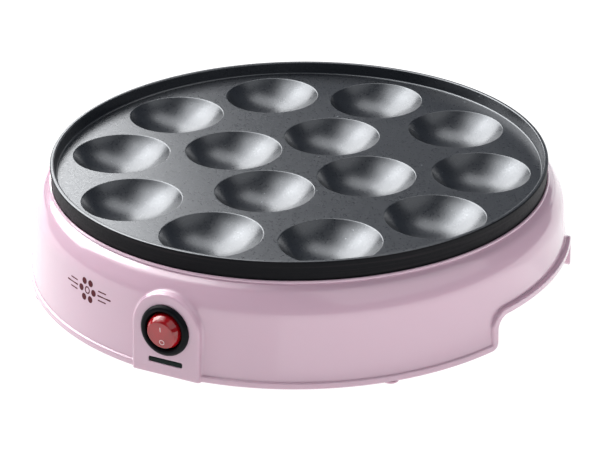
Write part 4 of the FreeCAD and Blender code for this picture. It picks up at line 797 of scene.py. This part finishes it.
tun_a = [panel3(ring_loop(BORE + 0.2 * (1 - math.sin(a))), -0.2 * (1 - math.cos(a))) for a in np.radians([0, 30, 60, 90])]
tun_a.append(back_of(ring_loop(BORE)))
tun_b = [panel3(slot_loop(0.25 * (1 - math.sin(a))), -0.25 * (1 - math.cos(a))) for a in np.radians([0, 30, 60, 90])]
tun_b.append(back_of(slot_loop(0.0)))
for tunnel in (tun_a, tun_b):
    house.grid(np.array(tunnel), wrap=True)

# ----------------------------------------------------------------- inside wall
IN_Z = np.array([0.0, 1.5, 35.2, 39.8])
IN_R = np.array([123.6, 123.55, 119.95, 116.0])
IN_ARC = np.concatenate([[0], np.cumsum(np.hypot(np.diff(IN_Z), np.diff(IN_R)))])


def in_to_uv(p):
    return np.stack([np.arctan2(p[:, 0], -p[:, 1]) * U_SCALE, np.interp(p[:, 2], IN_Z, IN_ARC)], -1)


def in_from_uv(uv):
    phi, r, z = uv[:, 0] / U_SCALE, np.interp(uv[:, 1], IN_ARC, IN_R), np.interp(uv[:, 1], IN_ARC, IN_Z)
    return np.stack([r * np.sin(phi), -r * np.cos(phi), z], -1)


bottom3 = rows[0]
buv = in_to_uv(bottom3)
buv[0, 0], buv[-1, 0] = -math.pi * U_SCALE, math.pi * U_SCALE
in_side = np.linspace(buv[0, 1], IN_ARC[-1], 16)[1:-1]
right_uv = np.stack([np.full(14, math.pi * U_SCALE), in_side], -1)
left_uv = np.stack([np.full(14, -math.pi * U_SCALE), in_side[::-1]], -1)
top_uv = np.stack([TOP_PHI[::-1] * U_SCALE, np.full(len(TOP_PHI), IN_ARC[-1])], -1)
outer_loop = np.vstack([buv, right_uv, top_uv, left_uv])
hole3 = [tun_a[-1], tun_b[-1]]
holes = [in_to_uv(h) for h in hole3]
loop3 = np.vstack([bottom3, in_from_uv(right_uv), in_from_uv(top_uv), in_from_uv(left_uv)] + hole3)
uu = np.linspace(-math.pi, math.pi, 241)[1:-1] * U_SCALE
grid_uv = np.array([(u, v) for v in np.append(np.linspace(2, IN_ARC[2] - 1, 12), [IN_ARC[2], IN_ARC[2] + 3]) for u in uu])
uv, src, tri = fill(outer_loop, holes, grid_uv, 0.9)
p3 = in_from_uv(uv)
known = (src >= 0) & (src < len(loop3))
p3[known] = loop3[src[known]]
house.add(p3, tri)

# ------------------------------------------- collar, bore and ledge by turning
ledge = rounded([(114.3, 46.75, 0), (114.3, 46.75, 0), (113.9, 42.0, 0.3), (107.5, 42.0, 0.3),
                 (107.5, 39.8, 0.3), (116.0, 39.8, 0)], 15)
turned_rows = np.vstack([high, ledge[1:]])
house.grid(np.stack([np.outer(turned_rows[:, 0], np.sin(TOP_PHI)), -np.outer(turned_rows[:, 0], np.cos(TOP_PHI)),
                     np.outer(turned_rows[:, 1], np.ones(len(TOP_PHI)))], -1))
# screw posts
for k in range(4):
    a = math.radians(45 + 90 * k)
    post = rounded([(4.2, 30.2, 0), (4.2, 8.6, 0.4), (1.55, 8.6, 0.3), (1.55, 21.6, 0)], 20)
    house.lathe(post, (108 * math.cos(a), 108 * math.sin(a), 0), 48, (True, True))
housing = house.object("housing_shell", pink)
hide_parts("housing")
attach(housing, "root")

# =============================================================== baking plate
plate = Build()
RB = (PIT_R ** 2 + PIT_D ** 2) / (2 * PIT_D)
BZ = FACE_Z - PIT_D + RB
EDGE_R = 0.8
edge_c = math.sqrt((RB + EDGE_R) ** 2 - (BZ - (FACE_Z - EDGE_R)) ** 2)
lean = math.atan2(edge_c, BZ - (FACE_Z - EDGE_R))
pits = [(84.0, 10, k) for k in range(10)] + [(34.4, 4, k) for k in range(4)]
centres = [(r * math.cos(-math.pi / 2 + TAU * k / n), r * math.sin(-math.pi / 2 + TAU * k / n)) for r, n, k in pits]
NP, NQ = 96, 400
aq = np.arange(NQ) * TAU / NQ
rim = rounded([(110.3, FACE_Z, 0), (111.8, FACE_Z, 1.3), (112.5, FACE_Z + RIM_H, 0.75), (114.5, FACE_Z + RIM_H, 0.75),
               (113.95, 46.75, 0), (113.5, 42.0, 0.4), (110.9, 42.0, 0.4), (110.9, 46.45, 0.6), (110.0, 46.45, 0)], 9)
rim = split_long(rim, 3.2)
plate.lathe(rim, (0, 0, 0), NQ)
dish = [(edge_c - EDGE_R * math.sin(t), FACE_Z - EDGE_R + EDGE_R * math.cos(t)) for t in np.linspace(0, lean, 8)]
s0 = math.asin(dish[-1][0] / RB)
dish += [(RB * math.sin(t), BZ - RB * math.cos(t)) for t in np.linspace(s0, 0.02, 20)[1:]]
for cx, cy in centres:
    plate.lathe(dish, (cx, cy, 0), NP, (False, True))
ap = np.arange(NP) * TAU / NP
holes = [np.stack([cx + edge_c * np.cos(ap), cy + edge_c * np.sin(ap)], -1) for cx, cy in centres]
gx, gy = np.meshgrid(np.arange(-112, 112, 3.0), np.arange(-112, 112, 3.0))
flat = np.stack([gx.ravel(), gy.ravel()], -1)
outer = np.stack([110.3 * np.cos(aq), 110.3 * np.sin(aq)], -1)
uv, src, tri = fill(outer, holes, flat, 0.9)
plate.add(np.column_stack([uv, np.full(len(uv), FACE_Z)]), tri)
# underside with the bowls' outer skins
RU = RB + 2.6
ru = math.sqrt(RU ** 2 - (BZ - 46.45) ** 2)
bowl = [(RU * math.sin(t), BZ - RU * math.cos(t)) for t in np.linspace(math.asin(ru / RU), 0.02, 16)]
for cx, cy in centres:
    plate.lathe(bowl, (cx, cy, 0), 72, (False, True))
a72 = np.arange(72) * TAU / 72
holes = [np.stack([cx + ru * np.cos(a72), cy + ru * np.sin(a72)], -1) for cx, cy in centres]
outer = np.stack([110.0 * np.cos(aq), 110.0 * np.sin(aq)], -1)
uv, src, tri = fill(outer, holes, flat[::2], 1.2)
plate.add(np.column_stack([uv, np.full(len(uv), 46.45)]), tri)
casting = plate.object("plate_casting", plate_top)
casting.data.materials.append(plate_side)
casting.data.materials.append(plate_under)
me = casting.data
mids = np.empty(len(me.polygons) * 3)
me.polygons.foreach_get("center", mids)
mids = mids.reshape(-1, 3) * 1000
nor = np.empty(len(me.polygons) * 3)
me.polygons.foreach_get("normal", nor)
nor = nor.reshape(-1, 3)
rad = np.hypot(mids[:, 0], mids[:, 1])
index = np.zeros(len(mids), np.int32)
index[(rad > 113.2) & (nor[:, 2] < 0.75)] = 1
index[(nor[:, 2] < -0.1) & (rad < 113.2)] = 2
me.polygons.foreach_set("material_index", index)
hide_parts("baking_plate")
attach(casting, "root")

# ============================================================ printed emblem
EMBLEM_PHI, EMBLEM_Z, INK = math.radians(-21.4), 26.8, 0.035


def ink3(uv, lift):
    uv = np.asarray(uv, float)
    z = EMBLEM_Z + uv[:, 1]
    r = wall_r(z) + lift
    phi = EMBLEM_PHI + uv[:, 0] / 123.2
    return np.stack([r * np.sin(phi), -r * np.cos(phi), z], -1)


emblem = Build()


def ink_shape(loop, hole=None):
    """A thin raised print between a loop and an optional hole with as many points."""
    n = len(loop)
    inner = hole if hole is not None else loop * 0 + loop.mean(0)
    steps = [loop + (inner - loop) * t for t in ((0, 0.5, 1.0) if hole is None else (0, 1.0))]
    top = [ink3(q, INK) for q in steps]
    low = [ink3(q, -0.02) for q in steps]
    emblem.grid(np.array([*low[::-1], *top] + ([low[-1]] if hole is not None else [])), wrap=True)


def round_loop(cx, cy, r, count=40):
    q = np.arange(count) * TAU / count
    return np.stack([cx + r * np.cos(q), cy + r * np.sin(q)], -1)


def bar_loop(cx, cy, half_w, half_h, count=8):
    out = []
    for sx, sy, a0 in ((1, 1, 0), (-1, 1, 90), (-1, -1, 180), (1, -1, 270)):
        for q in np.radians(np.linspace(a0, a0 + 90, count)):
            out.append((cx + sx * (half_w - half_h) + half_h * math.cos(q), cy + half_h * math.sin(q)))
    return np.array(out)


ink_shape(round_loop(0, 0, 1.75), round_loop(0, 0, 1.15))
for q in range(6):
    ink_shape(round_loop(4.3 * math.cos(q * TAU / 6), 4.3 * math.sin(q * TAU / 6), 1.55))
for side in (-1, 1):
    ink_shape(bar_loop(side * 11.2, 0.0, 4.2, 0.38))
    ink_shape(bar_loop(side * 9.9, 2.1, 2.6, 0.30))
    ink_shape(bar_loop(side * 9.9, -2.1, 2.6, 0.30))
emblem_piece = emblem.object("wall_emblem", None, merge=1e-6)
maroon = moulded("maroon_print", srgb(88, 5, 26), rough=0.46, grain=2200.0, vary=0.08, spec=0.2)
emblem_piece.data.materials.append(maroon)
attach(emblem_piece, "root")

# ============================================================== rocker switch
bezel = Build()
bez = rounded([(9.9, -14.5, 0), (9.9, 0.0, 0.0), (11.55, 0.0, 0.15), (11.5, 0.75, 0.5), (10.6, 1.75, 0.9),
               (9.5, 2.0, 0.9), (8.75, 1.55, 0.35), (8.6, 0.6, 0.0), (8.6, -11.5, 0.3), (0.02, -11.5, 0)], 9)
bezel.lathe(split_long(bez, 1.5), (0, 0, 0), 160, (True, True))
switch_case = bezel.object("switch_bezel", black_bezel, frame_matrix=PANEL_MATRIX)
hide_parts("switch_body")
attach(switch_case, "root")

ROCK = PANEL_MATRIX @ Matrix.Translation((0, 0, -0.0015)) @ Matrix.Rotation(math.radians(12.0), 4, "X")
RR, RF = 8.3, 5.2
fr = math.sqrt(RR * RR - RF * RF)
rock = Build()
prof = [(0.02, RF), (fr * 0.3, RF), (fr * 0.6, RF), (fr - 0.75, RF)]
t0, t1 = math.asin(fr / RR), math.acos(-2.6 / RR)
corner = rounded([(fr - 0.75, RF, 0), (fr, RF, 0.5), (RR * math.sin(t0 + 0.11), RR * math.cos(t0 + 0.11), 0)], 9)
prof += [tuple(p) for p in corner[1:]]
prof += [(RR * math.sin(t), RR * math.cos(t)) for t in np.linspace(t0 + 0.14, t1, 22)]
prof += [(RR * math.sin(t1) - 1.2, -2.6), (RR * math.sin(t1) - 1.3, -2.0), (3.0, -1.2), (2.4, -2.0), (2.4, -5.0), (0.02, -5.0)]
rock.lathe(prof, (0, 0, 0), 144, (True, True))
rocker = rock.object("rocker_cap", red, frame_matrix=ROCK)
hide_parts("switch_rocker")
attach(rocker, "rocker")

marks = Build()


def raised_loop(outer_pts, inner_pts, z, t):
    """Flat raised mark between two loops (or inside one), with its side walls."""
    o = np.asarray(outer_pts, float)
    n = len(o)
    if inner_pts is None:
        c = o.mean(0)
        marks.add(np.vstack([np.column_stack([o, np.full(n, z + t)]), [[c[0], c[1], z + t]]]),
                  [(j, (j + 1) % n, n) for j in range(n)])
        marks.grid(np.array([np.column_stack([o, np.full(n, z - 0.05)]), np.column_stack([o, np.full(n, z + t)])]), wrap=True)
        marks.add(np.vstack([np.column_stack([o, np.full(n, z - 0.05)]), [[c[0], c[1], z - 0.05]]]),
                  [(j, (j + 1) % n, n) for j in range(n)])
    else:
        q = np.asarray(inner_pts, float)
        marks.grid(np.array([np.column_stack([o, np.full(n, z - 0.05)]), np.column_stack([o, np.full(n, z + t)]),
                             np.column_stack([q, np.full(n, z + t)]), np.column_stack([q, np.full(n, z - 0.05)]),
                             np.column_stack([o, np.full(n, z - 0.05)])]), wrap=True)


bar = []
for cx, cy, a0 in ((1, 1, 0), (-1, 1, 90), (-1, -1, 180), (1, -1, 270)):
    for a in np.radians(np.linspace(a0, a0 + 90, 6)):
        bar.append((cx * 0.06 + 0.16 * math.cos(a), 2.9 + cy * 1.0 + 0.16 * math.sin(a)))
raised_loop(bar, None, RF, 0.03)
a = np.arange(48) * TAU / 48
raised_loop(np.stack([1.25 * np.cos(a), -3.6 + 1.25 * np.sin(a)], -1),
            np.stack([0.93 * np.cos(a), -3.6 + 0.93 * np.sin(a)], -1), RF, 0.03)
mark = marks.object("rocker_marks", white_print, merge=1e-7, frame_matrix=ROCK)
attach(mark, "rocker")

# ============================================================= indicator lens
lens = Build()
lens_rows = [panel3(slot_loop(g, 7, 0.7) * 1.0, h) for g, h in
             ((-0.10, -3.2), (-0.10, -0.35), (-0.14, -0.22), (-0.24, -0.12), (-0.42, -0.06))]
lens.grid(np.array(lens_rows), wrap=True)
for row in (lens_rows[0], lens_rows[-1]):
    n = len(row)
    lens.add(np.vstack([row, row.mean(0)[None]]), [(j, (j + 1) % n, n) for j in range(n)])
lens_piece = lens.object("ready_lens", green_lens)
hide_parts("indicator_lens")
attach(lens_piece, "root")

# ======================================================================= feet
feet = Build()
foot = rounded([(0.02, 0.0, 0), (2.6, 0.0, 0.5), (3.55, 0.5, 0.6), (3.9, 1.5, 0.1), (1.7, 1.5, 0.05), (1.7, 5.5, 0.3), (0.02, 5.5, 0)], 12)
for k in range(4):
    t = math.radians(45 + 90 * k)
    feet.lathe(foot, (122.7 * math.cos(t), 122.7 * math.sin(t), 0), 64, (True, True))
feet_piece = feet.object("standing_feet", foot_pink)
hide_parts("feet")
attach(feet_piece, "root")

# ====================================================================== stage
floor_mesh = bpy.data.meshes.new("floor")
bm = bmesh.new()
bmesh.ops.create_grid(bm, x_segments=8, y_segments=8, size=6.0)
bm.to_mesh(floor_mesh)
bm.free()
floor = bpy.data.objects.new("floor", floor_mesh)
bpy.context.scene.collection.objects.link(floor)
fl = Mat("pale_floor")
n = fl.noise(1.2, 2.0, 0.5)
fl.link(fl.mix(fl.span(n.outputs["Fac"], 0.3, 0.7), (0.115, 0.115, 0.118, 1), (0.125, 0.125, 0.125, 1)), fl.b.inputs["Base Color"])
fl.set(Roughness=0.9)
fl.b.inputs["Emission Color"].default_value = (1, 1, 1, 1)
fl.b.inputs["Emission Strength"].default_value = 0.98
floor.data.materials.append(fl.m)

world = bpy.data.worlds.new("studio")
bpy.context.scene.world = world
world.use_nodes = True
bg = world.node_tree.nodes["Background"]
wt = world.node_tree
w_coord = wt.nodes.new("ShaderNodeTexCoord")
w_split = wt.nodes.new("ShaderNodeSeparateXYZ")
w_ramp = wt.nodes.new("ShaderNodeValToRGB")
wt.links.new(w_coord.outputs["Generated"], w_split.inputs[0])
wt.links.new(w_split.outputs["Z"], w_ramp.inputs[0])
wt.links.new(w_ramp.outputs[0], bg.inputs[0])
w_ramp.color_ramp.elements.new(0.5)
w_ramp.color_ramp.elements.new(0.7)
for item, (pos, level) in zip(w_ramp.color_ramp.elements, ((0.0, 0.10), (0.38, 0.12), (0.60, 0.10), (0.80, 0.10))):
    item.position, item.color = pos, (level * 0.84, level * 0.95, level * 1.14, 1)
bg.inputs[1].default_value = 1.0


def area(name, at, aim, size, power, shape="RECTANGLE", spread=180.0):
    light = bpy.data.lights.new(name, "AREA")
    light.shape = shape
    light.size, light.size_y = size
    light.energy = power
    light.spread = math.radians(spread)
    o = bpy.data.objects.new(name, light)
    o.location = at
    o.rotation_mode = "QUATERNION"
    o.rotation_quaternion = (Vector(aim) - Vector(at)).to_track_quat("-Z", "Y")
    bpy.context.scene.collection.objects.link(o)
    return o


def around(azimuth, elevation, distance):
    """A place seen from the plate: azimuth in degrees left of the back, elevation in degrees."""
    t, e = math.radians(azimuth), math.radians(elevation)
    return (-distance * math.cos(e) * math.sin(t), distance * math.cos(e) * math.cos(t), 0.05 + distance * math.sin(e))


def upright(name, azimuth, distance, low, high, left, right, radiance):
    """A standing soft box between two azimuths; its edges are upright lines."""
    t = math.radians(azimuth)
    a0, a1 = distance * math.tan(math.radians(azimuth - right)), distance * math.tan(math.radians(left - azimuth))
    out = Vector((-math.sin(t), math.cos(t), 0))
    along = Vector((-math.cos(t), -math.sin(t), 0))
    mid = out * distance + along * (a1 - a0) / 2 + Vector((0, 0, (low + high) / 2))
    w, h = a0 + a1, high - low
    o = area(name, mid, mid - out, (w, h), radiance * math.pi * w * h)
    m = Matrix((along, Vector((0, 0, 1)), along.cross(Vector((0, 0, 1))))).transposed()
    if m.col[2].dot(out) < 0:
        m = Matrix((-along, Vector((0, 0, 1)), (-along).cross(Vector((0, 0, 1))))).transposed()
    o.rotation_quaternion = m.to_quaternion()
    return o


upright("back_left_box", 66.0, 1.25, 0.44, 2.1, 104.0, 35.0, 5.5)
# nested panels, brightest in the middle, so that the shoulder's highlight fades at its edge
for k, (side, glow) in enumerate(((0.75, 2.4), (1.15, 1.1), (1.5, 0.55))):
    area("left_top_box_%d" % k, around(98.0, 56.0, 1.3 + 0.01 * k), (0, 0, 0.05), (side, side), glow * math.pi * side * side)
upright("front_right_box", 236.0, 1.5, 0.30, 1.42, 205.0, 262.0, 2.45)

area("right_shoulder_box", around(258.0, 44.0, 1.4), (0, 0, 0.04), (1.8, 1.2), 0.80 * math.pi * 2.16)
area("back_top_box", around(12.0, 60.0, 1.3), (0, 0, 0.05), (0.8, 0.55), 2.2 * math.pi * 0.44)
upright("back_low_box", 8.0, 1.4, 0.06, 0.36, 33.0, -18.0, 1.15)

# a brighter sheet on the floor to the right, whose reflection stands in the glossy wall
sheet = bpy.data.meshes.new("bounce_sheet")
ring_a = [math.radians(201 + 84 * k / 24) for k in range(25)]
sheet_v = [(-r * math.sin(t), r * math.cos(t), 0.0002) for r in (0.150, 0.45, 0.9) for t in ring_a]
sheet.from_pydata(sheet_v, [], [(i * 25 + k, i * 25 + k + 1, (i + 1) * 25 + k + 1, (i + 1) * 25 + k) for i in range(2) for k in range(24)])
sheet_obj = bpy.data.objects.new("bounce_sheet", sheet)
bpy.context.scene.collection.objects.link(sheet_obj)
sh = Mat("bounce_white")
n = sh.noise(3.0, 2.0, 0.5)
sh.link(sh.mix(sh.span(n.outputs["Fac"], 0.3, 0.7), (0.12, 0.12, 0.12, 1), (0.13, 0.13, 0.13, 1)), sh.b.inputs["Base Color"])
sh.set(Roughness=0.9)
sh.b.inputs["Emission Color"].default_value = (1, 1, 1, 1)
sh.b.inputs["Emission Strength"].default_value = 1.35
sheet.materials.append(sh.m)

# ===================================================================== camera
cam_data = bpy.data.cameras.new("camera")
cam_data.sensor_fit = "HORIZONTAL"
cam_data.sensor_width = 36.0
cam_data.lens = 131.1399
cam = bpy.data.objects.new("camera", cam_data)
bpy.context.scene.collection.objects.link(cam)
RGT, UPV, FWD = (0.89235728, 0.45121162, -0.01032284), (-0.18637756, 0.38923522, 0.90208611), (-0.41104974, 0.80305916, -0.4314326)
cam.matrix_world = Matrix((
    (RGT[0], UPV[0], -FWD[0], 0.42107877),
    (RGT[1], UPV[1], -FWD[1], -0.82245365),
    (RGT[2], UPV[2], -FWD[2], 0.45966880),
    (0, 0, 0, 1)))
cam_data.clip_start, cam_data.clip_end = 0.01, 30
bpy.context.scene.camera = cam
bpy.context.scene.view_settings.view_transform = "Standard"
